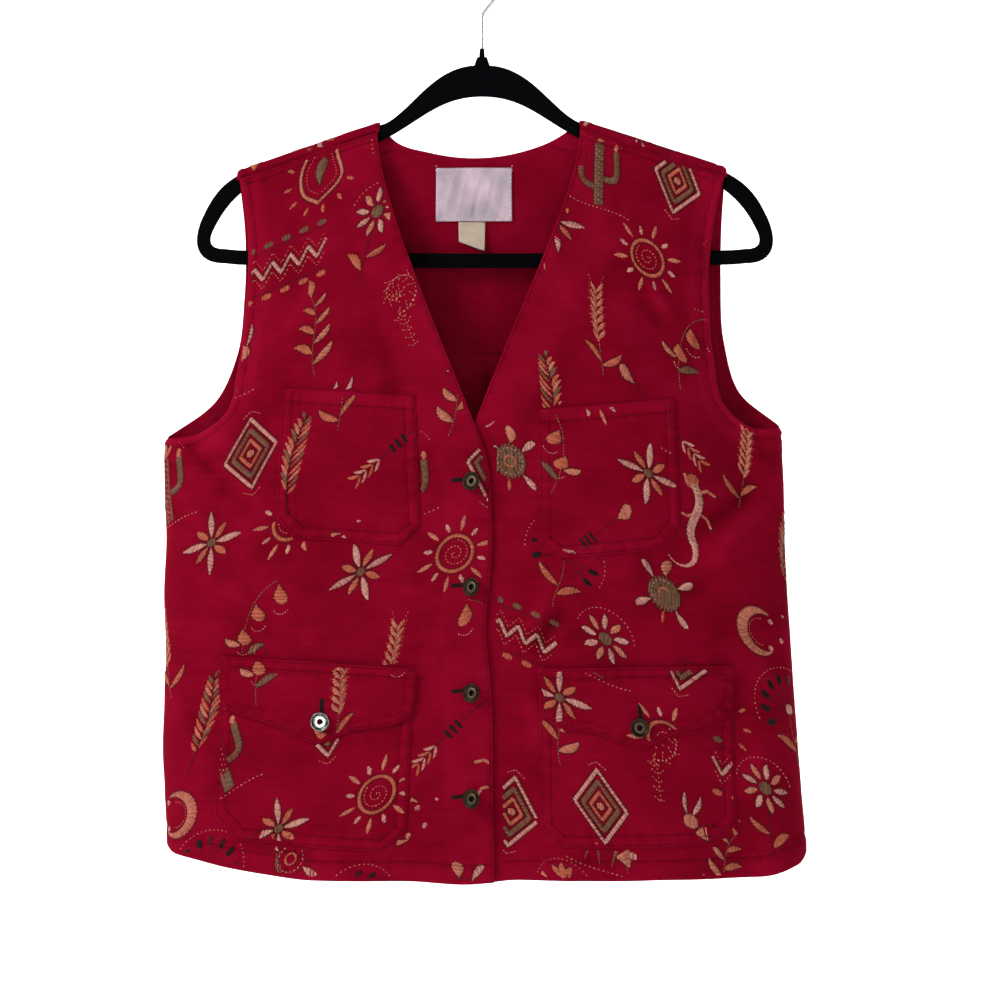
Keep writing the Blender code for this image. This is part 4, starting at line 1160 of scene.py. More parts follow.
# %% [markdown]
# ## Pockets, flaps, facing and labels
#
# A patch pocket is hung from its own outline, one layer further out than the front it is sewn to, so
# it follows the same folds. It bellies a little in the middle, where nothing holds it.

# %% Patch pockets
POCKET_ROWS = (1.6, 8.2)
MOUTH_STITCH = 9.5
BELLY = 0.9
GAPE = 1.3


def pocket_lift(flat, node):
    """How far a pocket stands off the front: it bellies in the middle and gapes a little at its mouth."""
    loop, mouth = POCKET_LOOPS[node], POCKET_RUNS[node][0]
    away, at = along_path(flat, mouth)
    share = at / np.linalg.norm(mouth[-1] - mouth[0])
    lift = BELLY * ramp(clearance(flat, loop), 7, 34)
    return inside(flat, loop) * (lift + GAPE * 4 * share * (1 - share) * np.exp(-((away / 20) ** 2)))


def patch(node, outline, lift, relief):
    """A piece that lies on a front, lifted off it. On the left it is pushed in with the front."""
    flat, triangles = cut(outline, GRID_STEP, rows=POCKET_ROWS[1:])
    low = lift(flat) - (under_lap(flat) if node.endswith("left") else 0)
    piece = hang(f"{node}_cloth", flat, triangles, outline, FRONT, low, low + POCKET_CLOTH, relief(flat))
    return dress(piece, node)


patches = []
for seed, (node, outline) in enumerate(POCKET_LOOPS.items(), 5):
    mouth, rest = POCKET_RUNS[node]
    rows = (rest, POCKET_ROWS, seed), (mouth, (MOUTH_STITCH,), seed + 1)
    patches.append(
        patch(
            node,
            outline,
            lambda flat: GAP + pocket_lift(flat, node),
            lambda flat: sum(stitched_edge(flat, *row) for row in rows),
        )
    )

# %% Flaps
FLAP_STITCH = 7.0
FLAP_CURL = 1.1
FLAP_CLEAR = 0.6


def flap_lift(flat, node):
    """A flap rides on its pocket. Its free edge stands away a little, except where the button holds it."""
    pocket = node.replace("flap", "lower_pocket")
    loop, button_place = FLAP_LOOPS[node], paper([FLAP_BUTTONS[node.split("_")[1]]])[0]
    held = ramp(np.linalg.norm(flat - button_place, axis=1), 8, 34)
    hangs_free = ramp(flat[:, 1] - loop[:, 1].min(), 18, 44) * np.exp(-clearance(flat, loop) / 9)
    rest = 2.4 * GAP + POCKET_CLOTH + pocket_lift(flat, pocket)
    return rest + FLAP_CURL * hangs_free * held + FLAP_CLEAR


for seed, (node, outline) in enumerate(FLAP_LOOPS.items(), 8):
    patches.append(
        patch(
            node,
            outline,
            lambda flat: flap_lift(flat, node),
            lambda flat: stitched_edge(flat, closed(outline), (POCKET_ROWS[0], FLAP_STITCH), seed, puff=0.15),
        )
    )

# %% Facing and labels
FACING_ROW = 2.2
DRAPE = 0.5
LABEL_OFF = 1.1  # how far the label stands off the facing
LABEL_STEP = 2.2
facing_loop, label_loop = facing_outline(), rectangle(*LABEL)
care_loop = rectangle(*CARE_LABEL, slant=CARE_SLANT)
flat, triangles = cut(facing_loop, GRID_STEP * 1.3)
facing_top = -CLOTH - GAP
edge_relief = stitched_edge(flat, closed(facing_loop), (FACING_ROW,), 6.6)
wave = wobble(flat[:, 0] * 0.06 + flat[:, 1] * 0.045, 2.2)
drape = DRAPE * (1 + wave * ramp(clearance(flat, facing_loop), 4, 30))
facing_low = facing_top - FACING_CLOTH - edge_relief - drape
facing = hang("back_facing_cloth", flat, triangles, facing_loop, BACK, facing_low, facing_top)
dress(facing, "back_facing")

label_top = facing_top - FACING_CLOTH - GAP - LABEL_OFF
flat, triangles = cut(label_loop, LABEL_STEP)
from_corner = 1 - np.clip(clearance(flat, label_loop) / 12, 0, 1)
ripple = 0.8 * wobble(flat[:, 0] * 0.75 + flat[:, 1] * 0.2, 1.3)
ripple += 0.5 * np.exp(-(((flat[:, 0] - 4.0 + 0.12 * flat[:, 1]) / 2.2) ** 2))
label_low = label_top - LABEL_CLOTH - 0.5 + ripple * (1 - from_corner**2)
label = hang("neck_label_cloth", flat, triangles, label_loop, BACK, label_low, label_top)
dress(label, "neck_label", SATIN)

flat, triangles = cut(care_loop, LABEL_STEP)
care_top = label_top - CARE_CURL * ((flat[:, 1] - flat[:, 1].min()) / np.ptp(flat[:, 1])) ** 2
care = hang("care_label_cloth", flat, triangles, care_loop, BACK, care_top - LABEL_CLOTH, care_top)
dress(care, "care_label", TAPE)

# %% [markdown]
# ## Sewing
#
# Every edge is turned under and stitched down, and the pockets are held by two rows with a soft ridge
# between them. The thread is the cloth's red, a little deeper, so the rows read as fine dark lines.

# %% Rows of stitches on each side
STITCH_LONG = 2.7
STITCH_GAP = 0.5
THREAD_WIDE = 0.7
CLEAR_OF_EDGE = 1.0  # rows end this far inside an edge
front_skin = skin(right_front, left_front, *patches)
back_skin = skin(back)


def rows_beside(run, distances, outline):
    return [beside(run, distance, outline.mean(axis=0)) for distance in distances]


def settled(starts, ends, face, tree, inner=False):
    """Both ends of stitches on the finished cloth, and the normals at their starts."""
    a, normals = settle(starts, face, tree, inner)
    return a, settle(ends, face, tree, inner)[0], normals


def sew_rows(name, paths, face, tree, keep=None, thread="dark red", gap=STITCH_GAP, inner=False):
    """Rows of running stitches along flat paths, laid on the cloth that the tree holds."""
    long = STITCH_LONG + STITCH_GAP - gap
    starts, ends = (np.concatenate(v) for v in zip(*[dashes(path, long, gap) for path in paths]))
    if keep is not None:
        good = keep(starts) & keep(ends)
        starts, ends = starts[good], ends[good]
    piece = sew(name, *settled(starts, ends, face, tree, inner), THREAD_WIDE)
    fit(piece, THREADS[thread])
    print(name, len(starts), "stitches")


def covered(flat, loops, margin):
    """Which flat points lie under one of the pieces, or nearer to it than the margin."""
    return np.any([inside(flat, loop) | (clearance(flat, loop) < margin) for loop in loops.values()], axis=0)


def well_on(flat, loops):
    """Which flat points lie on one of the pieces, clear of its edge."""
    found = [inside(flat, loop) & (clearance(flat, loop) > CLEAR_OF_EDGE) for loop in loops.values()]
    return np.any(found, axis=0)


def open_front(flat):
    """Which flat points of the fronts no pocket or flap covers."""
    return ~covered(flat, {**POCKET_LOOPS, **FLAP_LOOPS}, 1.2)


def on_pocket(flat):
    return well_on(flat, POCKET_LOOPS) & ~covered(flat, FLAP_LOOPS, CLEAR_OF_EDGE)


def on_flap(flat):
    return well_on(flat, FLAP_LOOPS)


def past_lap(flat):
    return under_lap(flat) < LAP - 0.03


def clear_of(outline):
    return lambda flat: clearance(flat, outline) > CLEAR_OF_EDGE


FRONT_SEAMS = {
    # each run's rows of stitches
    "opening": (EDGE_STITCH,),
    "hem": (HEM_STITCH,),
    "armhole": (ARM_STITCH,),
    "shoulder": (EDGE_STITCH, SHOULDER_STITCH),
}
right_rows, left_rows = (
    [row for run, distances in FRONT_SEAMS.items() for row in rows_beside(runs[run], distances, outline)]
    for runs, outline in ((RIGHT_RUNS, RIGHT_OUTLINE), (LEFT_RUNS, LEFT_OUTLINE))
)
sew_rows("right_front_sewing", right_rows, FRONT, front_skin, clear_of(RIGHT_OUTLINE))
left_clear = clear_of(LEFT_OUTLINE)
sew_rows("left_front_sewing", left_rows, FRONT, front_skin, lambda p: past_lap(p) & left_clear(p))

PEN_SLOT = [(-136.0, -337.0), (-139.5, -440.0)]  # a row that divides the right chest pocket
pocket_rows, flap_rows = [], []
for node, (mouth, rest) in POCKET_RUNS.items():
    loop = POCKET_LOOPS[node]
    pocket_rows += rows_beside(rest, POCKET_ROWS, loop) + rows_beside(mouth, (MOUTH_STITCH,), loop)
pocket_rows.append(line(*paper(PEN_SLOT), 5))
for node, loop in FLAP_LOOPS.items():
    x, z, *_, rise, drift, _, _ = LOWER_POCKETS[node.replace("flap", "lower_pocket")]
    flap_rows += rows_beside(closed(loop), POCKET_ROWS[:1], loop)
    top = line((3 - FLAP_WIDTH / 2, -FLAP_STITCH), (FLAP_WIDTH / 2 - 3, -FLAP_STITCH), EDGE_STEP)
    flap_rows.append(paper(askew(top, (x, z + FLAP_RISE), rise, drift)))
sew_rows("pocket_sewing", pocket_rows, FRONT, front_skin, on_pocket)
sew_rows("flap_sewing", flap_rows, FRONT, front_skin, on_flap)

back_order = ("left_armhole", "right_armhole", "neck", "left_shoulder", "right_shoulder", "hem")
back_rows = [beside(BACK_RUNS[run], BACK_SEAMS[run][0], BACK_OUTLINE.mean(axis=0)) for run in back_order]
back_rows.append(line((CENTRE_SEAM_X - 1.8, 52), (CENTRE_SEAM_X - 1.8, 586), 6))
sew_rows("back_sewing", back_rows, BACK, back_skin, clear_of(BACK_OUTLINE))

# %% Rows on the inside: round the label, tacks at its corners, and down the centre seam
TACK = 3.4
SEAM_FOOT = 590
label_rows = rows_beside(closed(label_loop), (1.2,), label_loop)
for x in (LABEL[0] - LABEL[2] / 2, LABEL[0] + LABEL[2] / 2):
    corner = paper([(x, LABEL[1])])[0]
    label_rows.append(line(corner + (0, TACK), corner - (0, TACK), 1))
sew_rows("label_sewing", label_rows, BACK, skin(label, facing), thread="silver", gap=1.4, inner=True)
seam_xs = CENTRE_SEAM_X - INNER_SEAM, CENTRE_SEAM_X + INNER_SEAM
seam_rows = [line((x, INNER_SEAM_TOP), (x, SEAM_FOOT), 3) for x in seam_xs]
sew_rows("centre_seam_sewing", seam_rows, BACK, back_skin, inner=True)

# %% [markdown]
# ## Embroidery
#
# The twill was embroidered before it was cut, so its figures run off the edges of the pieces. These
# ones are ordinary flowers, leaves, stars, animals and woven patterns of our own, in the thread colours
# and at the scale of such work. They are drawn as strokes: satin lies side by side across a path,
# running stitches follow it, and a close dark row rims a shape.

# %% Strokes, in millimetres about the middle of a figure
SATIN_PITCH = 0.86
OVER = 0.55  # how high strokes lie that are worked on top of satin
UNEVEN = 0.11

SWELL = {
    "line": lambda t: np.ones_like(t),
    "leaf": lambda t: np.sin(pi * t) ** 0.75,
    "drop": lambda t: np.sin(pi * np.clip(t, 0, 1) ** 1.7) ** 0.6,
    "disc": lambda t: np.sqrt(np.clip(1 - (2 * t - 1) ** 2, 0, 1)),
    "tail": lambda t: 1 - 0.85 * t,
}


def satin(colour, points, wide, shape="line", lean=0.5):
    """Threads side by side across a path, as wide as the shape swells there."""
    points = resampled(points, SATIN_PITCH)
    uneven = 1 + UNEVEN * np.sin(2.4 * np.arange(len(points)))
    half = (wide / 2 * SWELL[shape](np.linspace(0, 1, len(points))) * uneven)[:, None]
    run = np.gradient(points, axis=0)
    side = left_of(run) + lean * unit(run)
    return [(colour, points - half * side, points + half * side, SATIN_PITCH * 1.05, 0.0)]


def running(colour, points, long=1.6, gap=1.1, wide=0.62):
    return [(colour, *dashes(resampled(points, 0.5), long, gap), wide, 0.0)]


def over(strokes):
    """The same strokes, lying on top of satin."""
    return [(*stroke[:4], OVER) for stroke in strokes]


def rim(colour, points):
    return running(colour, points, 1.9, 0.12, 0.68)


def rimmed(strokes, colour="black"):
    """Satin with a close row of stitches along each side."""
    _, starts, ends, _, _ = strokes[0]
    grow = 0.35 * unit(ends - starts)
    return strokes + rim(colour, starts - grow) + rim(colour, ends + grow)


def turned_by(points, degrees, at=(0, 0)):
    c, s = cos(radians(degrees)), sin(radians(degrees))
    return np.array(points, float) @ np.array([(c, s), (-s, c)]) + at


def leaf(colour, root, degrees, long, wide, bow=0.12, edge="black", shape="leaf"):
    spine = bezier([(0, 0), (long * 0.3, bow * long), (long * 0.7, bow * long), (long, 0)], 1)
    strokes = satin(colour, turned_by(spine, degrees, root), wide, shape)
    return rimmed(strokes, edge) if edge else strokes


def spoke(colour, radius, degrees, *look, at=(0, 0)):
    """A leaf that points away from a middle."""
    return leaf(colour, turned_by([(radius, 0)], degrees, at)[0], degrees, *look)


def polar(radius, angles):
    return np.stack([radius * np.cos(angles), radius * np.sin(angles)], axis=-1)


def arc(radius, start, end, at=(0, 0)):
    return polar(radius, np.radians(np.linspace(start, end, 28))) + at


def disc(colour, radius, at=(0, 0), edge="black"):
    across = line((at[0] - radius, at[1]), (at[0] + radius, at[1]), 1)
    outer = rim(edge, arc(radius + 0.3, 0, 360, at)) if edge else []
    return satin(colour, across, 2 * radius, "disc", 0) + outer


# %% Flowers and leaves
def sprig():
    stem = bezier([(0, -30), (6, -10), (-6, 6), (2, 22)], 1)
    strokes = rim("olive", stem) + leaf("coral", stem[-1], 84, 12, 5)
    for i in range(7):
        root = stem[int((0.16 + 0.12 * i) * (len(stem) - 1))]
        strokes += leaf(("peach", "coral")[i % 2], root, 90 + (-1) ** i * 52, 16 - 1.1 * i, 5.4 - 0.3 * i)
    return strokes


def daisy():
    strokes = disc("olive", 4.2, (0, 14))
    for i in range(9):
        strokes += spoke(("cream", "peach")[i % 2], 5.4, i * 40, 10, 4.4, 0, at=(0, 14))
    strokes += rim("black", bezier([(0, 3), (2, -8), (-3, -20), (0, -31)], 1))
    strokes += leaf("coral", (0, -22), 38, 16, 5.2) + leaf("coral", (-1, -14), 146, 14, 5)
    return strokes + running("peach", arc(18.5, 10, 170, (0, 14)))


def bellflower():
    strokes = rim("olive", bezier([(-4, -31), (-12, -4), (-6, 20), (10, 24)], 1))
    for x, z, long in ((11, 22, 14), (-2, 12, 12), (-9, -2, 11)):
        strokes += leaf("coral", (x, z), -72, long, 8.5, 0, "black", "drop")
        strokes += running("cream", arc(5.2, 200, 340, (x + 0.3 * long, z - long)), 1.1, 0.6)
    return strokes + leaf("olive", (-7, -20), 24, 15, 5) + leaf("peach", (-9, -12), 150, 12, 4.4)


def wheat():
    stem = bezier([(-3, -32), (-1, -12), (2, 6), (0, 24)], 1)
    strokes = rim("olive", stem)
    for i in range(14):
        root = stem[int((0.36 + 0.045 * i) * (len(stem) - 1))]
        side = (-1) ** i
        strokes += leaf("peach", root, 90 - side * 30, 8, 3.1, 0.1, None)
        strokes += running("coral", turned_by([(7, 0), (13, 0)], 90 - side * 24, root), 1.3, 0.8, 0.5)
    return strokes + leaf("coral", stem[6], 140, 17, 4.4) + leaf("coral", stem[8], 44, 15, 4.2)


def fern():
    t = np.linspace(0, 2.6 * pi, 70)
    curl = np.stack([(15 - 1.75 * t) * np.sin(t) - 2, 8 - (15 - 1.75 * t) * np.cos(t)], axis=-1)[::-1]
    stalk = bezier([(9, -31), (4, -20), (4, -8), (-2, -7)], 1)
    stem = np.concatenate([stalk, curl[::-1]])
    strokes = running("peach", stem) + running("cream", turned_by(curl, 4, (1, 0)))
    spots = stem[::5]
    for i, (here, ahead) in enumerate(zip(spots, spots[1:])):
        way = np.degrees(np.arctan2(*(ahead - here)[::-1]))
        for side in (-1, 1):
            strokes += running("coral", turned_by([(1, 0), (5.4, 0)], way + side * 48, here), 1.9, 0.4)
    return strokes


def cactus():
    strokes = rimmed(satin("olive", [(0, -26), (0, 14)], 7, "line", 0.2))
    for side, height in ((-1, -8), (1, -15)):
        arm = bezier(np.array([(4, 0), (14, 0), (13, 4), (12, 20)]) * (side, 1) + (0, height), 1)
        strokes += rimmed(satin("olive", arm, 4.6, "line", 0.2))
        strokes += leaf("peach", arm[-1], 90, 6, 4, 0, None)
    for way in (52, 90, 128):
        strokes += leaf("coral", (0, 15), way, 10, 4.6, 0)
    for x in (-2, 0, 2):
        strokes += over(running("cream", [(x, -25 + x / 2), (x, 13)], 1.2, 2.4, 0.5))
    strokes += running("coral", arc(17, 20, 160, (0, 10)), 1.4, 1.2)
    return strokes + running("peach", bezier([(-22, -29), (-8, -25), (8, -32), (22, -27)], 1))


# %% Creatures
def turtle():
    strokes = disc("olive", 10.5)
    strokes += over(running("cream", arc(8.2, 0, 360)) + satin("coral", arc(3.4, 0, 360), 1.6))
    for way in (42, 138, 222, 318):
        strokes += spoke("cream", 10, way, 12, 5, 0.15, "black", "drop")
    for way in range(0, 360, 60):
        strokes += over(rim("black", turned_by([(4.4, 0), (10, 0)], way)))
    strokes += leaf("peach", (0, 10.8), 90, 11, 7.5, 0, "black", "drop")
    return strokes + leaf("coral", (0, -10.8), 270, 8, 2.6, 0, None)


def gecko():
    body = bezier([(-5, 25), (9, 12), (-8, 0), (3, -12)], 1)
    tail = bezier([(3, -12), (10, -24), (-2, -34), (-11, -27)], 1)
    strokes = rimmed(satin("cream", body, 5.4)) + satin("cream", tail, 4.6, "tail")
    strokes += disc("coral", 4.3, (-6, 27))
    for root, side, knee in ((6, 1, 24), (5, -1, 150), (24, 1, -20), (25, -1, 205)):
        start = body[min(root, len(body) - 1)]
        foot = turned_by([(0, 0), (7, 2), (12, -1)], knee, start)
        strokes += satin("peach", foot, 2.4)
        for toe in (-32, 0, 32):
            strokes += rim("black", turned_by([(0, 0), (3.4, 0)], knee + toe - 14, foot[-1]))
    return strokes + over(running("black", body, 0.8, 2.0, 0.8))


def hare():
    strokes = rimmed(satin("peach", bezier([(-14, -10), (-8, 5), (4, 6), (10, 2)], 1), 14, "leaf", 0.1))
    strokes += disc("peach", 4.6, (13, 9)) + leaf("cream", (12, 13), 112, 14, 3.4, 0.1)
    strokes += leaf("cream", (15, 13), 84, 13, 3.2, -0.1) + disc("cream", 2.6, (-16, -2), None)
    for x, way in ((-11, -100), (-6, -74), (5, -96), (9, -70)):
        strokes += satin("olive", turned_by([(0, 0), (11, 0)], way, (x, -3)), 2.4, "tail")
    for drop in (0, 3):
        strokes += over(rim("black", bezier(np.array([(-9, 1), (-4, 5), (4, 4), (8, 1)]) - (0, drop), 1)))
    return strokes + running("peach", bezier([(-24, -18), (-8, -15), (8, -20), (24, -16)], 1))


# %% Sky and woven patterns
def star():
    strokes = []
    for i in range(8):
        long, colour = ((17, "cream"), (11, "coral"))[i % 2]
        strokes += spoke(colour, 3, i * 45, long, 4.6, 0)
    return strokes + disc("olive", 3)


def sun():
    turns = np.linspace(0, 4.4 * pi, 60)
    strokes = running("peach", polar(0.62 * turns, turns), 1.5, 0.7)
    strokes += rimmed(satin("coral", arc(11, 0, 360), 2.6))
    for i in range(12):
        strokes += spoke(("peach", "cream")[i % 2], 14, i * 30, (10, 6)[i % 2], 3.2, 0, None)
    return strokes


def moon():
    strokes = rimmed(satin("peach", arc(13, 55, 305), 7.5, "leaf", 0))
    strokes += running("coral", arc(8.2, 80, 280), 1.3, 0.7)
    for x, z, size in ((8, 8, 5), (15, -3, 4), (6, -9, 4), (19, 13, 3.4)):
        for way in (0, 45, 90, 135):
            strokes += rim("cream", turned_by([(-size / 2, 0), (size / 2, 0)], way, (x, z)))
    return strokes


def diamond():
    strokes = []
    for size, colour, wide in ((22, "cream", 2.6), (15, "olive", 3.2), (8.5, "coral", 2.6)):
        corners = [(0, size), (size * 0.72, 0), (0, -size), (-size * 0.72, 0), (0, size)]
        strokes += rimmed(satin(colour, corners, wide, "line", 0.2))
    for way in (90, 270):
        strokes += running("peach", turned_by([(23, -6), (27, 0), (23, 6)], way), 1.4, 0.5)
    return strokes + disc("peach", 2.6)


def zigzag():
    x = np.arange(-27, 28, 6)
    wave = np.stack([x, np.where(np.arange(len(x)) % 2, 4.5, -4.5)], axis=-1)
    strokes = rimmed(satin("cream", wave, 2.8, "line", 0.2))
    strokes += running("coral", wave + (0, 6)) + running("peach", wave - (0, 6))
    strokes += rim("black", [(-28, 13.5), (28, 13.5)]) + rim("black", [(-28, -13.5), (28, -13.5)])
    for x in range(-24, 25, 12):
        strokes += satin("olive", [(x - 3.4, 16.6), (x + 3.4, 16.6)], 4.4, "disc", 0)
        strokes += satin("coral", [(x - 3.4, -16.6), (x + 3.4, -16.6)], 4.4, "disc", 0)
    return strokes


def paisley():
    edge = [(2, -24), (13, -16), (16, -2), (9, 12), (-6, 24)]
    edge += [(-14, 23), (-6, 15), (-9, 4), (-13, -9), (2, -24)]
    shape = through(edge, 1)
    strokes = rimmed(satin("peach", shape, 2.6, "line", 0.3))
    strokes += running("coral", shape * 0.72 + (0.4, -1.4), 1.4, 0.7)
    strokes += leaf("olive", (2, -13), 94, 18, 8, -0.06, "black", "drop")
    for way in range(200, 381, 30):
        strokes += spoke("coral", 20, way, 6, 3, 0, None, at=(2, -6))
    return strokes


def feather():
    shaft = bezier([(-7, -31), (1, -12), (2, 8), (-3, 30)], 1)
    strokes = []
    for i in range(22):
        root = shaft[int((0.24 + 0.034 * i) * (len(shaft) - 1))]
        long = 12 * sin(pi * (0.16 + 0.036 * i)) ** 0.6
        way = 92 + (-1) ** i * 38
        strokes += leaf(("coral", "olive", "peach")[i % 6 // 2], root, way, long, 2.9, 0.1, None)
    return strokes + over(rim("black", shaft))


def arrow():
    strokes = rim("black", [(-24, -18), (24, 18)]) + leaf("peach", (20, 15), 37, 13, 7.5, 0, "black", "drop")
    for i in range(4):
        root = turned_by([(-28 + 4.4 * i, 0)], 37)[0]
        for side in (-1, 1):
            strokes += leaf(("coral", "cream")[i % 2], root, 37 + side * 142, 8, 2.6, 0.1, None)
    for i in range(3):
        strokes += satin("black", turned_by([(-6 + 4 * i, -3), (-6 + 4 * i, 3)], 37), 2.4)
    return strokes


def seed_head():
    strokes = disc("cream", 3.4, (0, 6)) + rim("olive", bezier([(0, 3), (3, -10), (-3, -20), (0, -31)], 1))
    for way in range(-28, 210, 26):
        ray = turned_by([(4, 0), (15, 0)], way, (0, 6))
        strokes += rim("black", ray) + leaf("black", ray[1], way, 7, 4.6, 0, None, "disc")
    for x, z, way in ((0, -20, 34), (0, -14, 148)):
        strokes += leaf("coral", (x, z), way, 17, 5)
    return strokes + running("peach", arc(25.5, -20, 200, (0, 6)), 1.4, 1.5)


FIGURES = [
    sprig, star, gecko, daisy, diamond, wheat, turtle, fern, sun,
    feather, paisley, hare, bellflower, moon, zigzag, cactus, arrow, seed_head,
]
assert len(FIGURES) == FIGURE_COUNT
print("figures:", ", ".join(figure.__name__ for figure in FIGURES))

# %% Sew the figures
def embroider(name, figures, face, tree, keep):
    """One piece of each thread colour, from the figures' strokes that lie on this layer of cloth."""
    by_colour = {}
    for figure, girth, drop, tilt, mirror in figures:
        scale = (mirror * FIGURE_SCALE, FIGURE_SCALE)
        for colour, *ends, wide, lift in FIGURES[figure]():
            placed = [turned_by(points * scale, tilt) * (1, -1) + (girth, drop) for points in ends]
            sizes = np.full((len(placed[0]), 2), (wide * FIGURE_SCALE, lift))
            by_colour.setdefault(colour, []).append((*placed, sizes))
    total = 0
    for colour, parts in sorted(by_colour.items()):
        starts, ends, sizes = (np.concatenate(v) for v in zip(*parts))
        good = keep(starts) & keep(ends)
        if not good.any():
            continue
        a, b, normals = settled(starts[good], ends[good], face, tree)
        lifts = normals * sizes[good, 1:]
        piece = sew(f"{name}_{colour}", a + lifts, b + lifts, normals, sizes[good, 0])
        fit(piece, THREADS[colour])
        total += good.sum()
    print(name, total, "stitches")


def within(outline, margin=2.4):
    return lambda flat: inside(flat, outline) & (clearance(flat, outline) > margin)


on_right, on_left, on_back = within(RIGHT_OUTLINE), within(LEFT_OUTLINE), within(BACK_OUTLINE)
embroider("right_front_figures", RIGHT_FIGURES, FRONT, front_skin, lambda p: on_right(p) & open_front(p))
embroider(
    "left_front_figures", LEFT_FIGURES, FRONT, front_skin, lambda p: on_left(p) & open_front(p) & past_lap(p)
)
for number, (loops, layer) in enumerate(((POCKET_LOOPS, on_pocket), (FLAP_LOOPS, on_flap))):
    for count, (node, loop) in enumerate(loops.items()):
        figures = scatter(loop - (0, 14), 5 + 3 * count + 7 * number)
        on_loop = within(loop, 2.0)
        embroider(f"{node}_figures", figures, FRONT, front_skin, lambda p: on_loop(p) & layer(p))
embroider("back_figures", BACK_FIGURES, BACK, back_skin, on_back)

# %% [markdown]
# ## Buttons and buttonholes
#
# They are pressed metal buttons on a tack, dished, with a rolled rim and a sunk eye. The ring round
# the eye is rubbed bright, and the dish and the rim have darkened. The front's buttonholes lie across
# and the flaps' lie upright, worked in nearly black thread.

# %% Antiqued metal
def antique(name, dark, bright, roughness):
    made, nodes, surface = new_material(name, roughness, bright, 1.0)
    share = nodes.mixed(nodes.kept("rubbed")["Fac"], (nodes.object_noise(700, 3), 0.5))
    nodes.feed(surface, {"Base Color": nodes.tones(share, (0.3, dark), (1.0, bright))})
    return made


BRONZE = antique("antique bronze", (0.019, 0.012, 0.007), (0.064, 0.048, 0.031), 0.46)
NICKEL = antique("rubbed nickel", (0.030, 0.027, 0.026), (0.78, 0.77, 0.77), 0.36)

# %% Turned buttons
BUTTON_CURVE = [
    # radius, height, rubbed
    (0.0, -1.4, 0.0), (1.35, -1.4, 0.0), (1.75, -1.0, 0.0), (1.9, 1.1, 0.0), (2.25, 1.75, 0.8),
    (2.9, 1.9, 1.0), (3.9, 1.75, 1.0), (4.3, 1.55, 0.15), (5.0, 1.75, 0.1), (5.9, 2.4, 0.08),
    (6.6, 2.7, 0.18), (7.1, 2.5, 0.12), (7.3, 1.9, 0.05), (7.0, 1.3, 0.1), (5.4, 0.7, 0.0),
    (2.6, 0.35, 0.0), (2.2, -0.6, 0.0), (2.2, -2.2, 0.0), (0.0, -2.2, 0.0),
]


def turned(name, rows, turns):
    """A smooth solid turned about Z from rows of radius, height and any third value."""
    places = np.array(rows, float)
    along = lengths_along(places[:, :2])
    at = np.sort(np.concatenate([along, (along[1:] + along[:-1]) / 2]))
    radius, height, value = (np.interp(at, along, places[:, i]) for i in range(3))
    angles = np.linspace(0, 2 * pi, turns, endpoint=False)
    ways = (radius, np.cos(angles)), (radius, np.sin(angles)), (height, np.ones(turns))
    points = np.stack([np.outer(*way) for way in ways], axis=-1).reshape(-1, 3)
    faces = [
        (i * turns + j, i * turns + (j + 1) % turns, (i + 1) * turns + (j + 1) % turns, (i + 1) * turns + j)
        for i in range(len(at) - 1)
        for j in range(turns)
    ]
    return add_mesh(name, points, faces, rubbed=np.repeat(value, turns))


BUTTON_LEAN = Vector((0.24, 0, 1)).normalized()  # the front's buttons lean about this, pulled by their holes
BUTTON_TILTS = (-30, -33)
FRONT_LIFT = 2.6
FLAP_LIFT = 0.6
HOLE_PITCH = 0.85
HOLE_THREAD = 1.05


def button(node, x, z, finish, tilt, lift):
    """A button on the finished cloth, standing off it by lift."""
    place, normal = (v[0] for v in settle(paper([(x, z)]), FRONT, front_skin))
    piece = turned(f"{node}_turned", BUTTON_CURVE, 40)
    piece.location = Vector(place + normal * lift) * MM
    face_way = Vector(normal)
    face_way.rotate(Quaternion(BUTTON_LEAN, radians(tilt)))
    piece.rotation_mode = "QUATERNION"
    piece.rotation_quaternion = face_way.to_track_quat("Z", "Y")
    fit(piece, finish, node)


def buttonhole(name, start, end, side_way):
    """Close stitches over both sides of a slit, and bars at its ends."""
    slit = resampled([start, end], HOLE_PITCH)
    side_way, along = np.array(side_way, float), unit(np.array(end) - start)
    tips = np.array([slit[0] - along * 0.6, slit[-1] + along * 0.6])
    starts = np.concatenate([slit + 0.3 * side_way, slit - 0.3 * side_way, tips - 1.6 * side_way])
    ends = np.concatenate([slit - 1.8 * side_way, slit + 1.8 * side_way, tips + 1.6 * side_way])
    fit(sew(name, *settled(starts, ends, FRONT, front_skin), HOLE_THREAD), THREADS["black"])


for i in range(FRONT_BUTTONS):
    z = BUTTON_TOP_Z - i * BUTTON_PITCH
    button(f"button_front_{i + 1}", BUTTON_X, z, BRONZE, BUTTON_TILTS[i % 2], FRONT_LIFT)
    spot = paper([(BUTTON_X, z + 2.0)])[0]
    buttonhole(f"buttonhole_front_{i + 1}", spot - (14.5, 1.2), spot + (1.5, 0), (0, 1))
for side, (x, z) in FLAP_BUTTONS.items():
    button(f"button_flap_{side}", x, z, NICKEL if side == "right" else BRONZE, 0, FLAP_LIFT)
    spot = paper([(x + 1.0, z)])[0]
    buttonhole(f"buttonhole_flap_{side}", spot - (0, 16.0), spot + (0, 1.5), (1, 0))

# %% [markdown]
# ## Hanger
#
# The hanger is a flat moulded frame covered in short black flock, which swallows light except at a
# grazing angle. Its outline is made of cubic curves, and its arms run just below the vest's ridge.

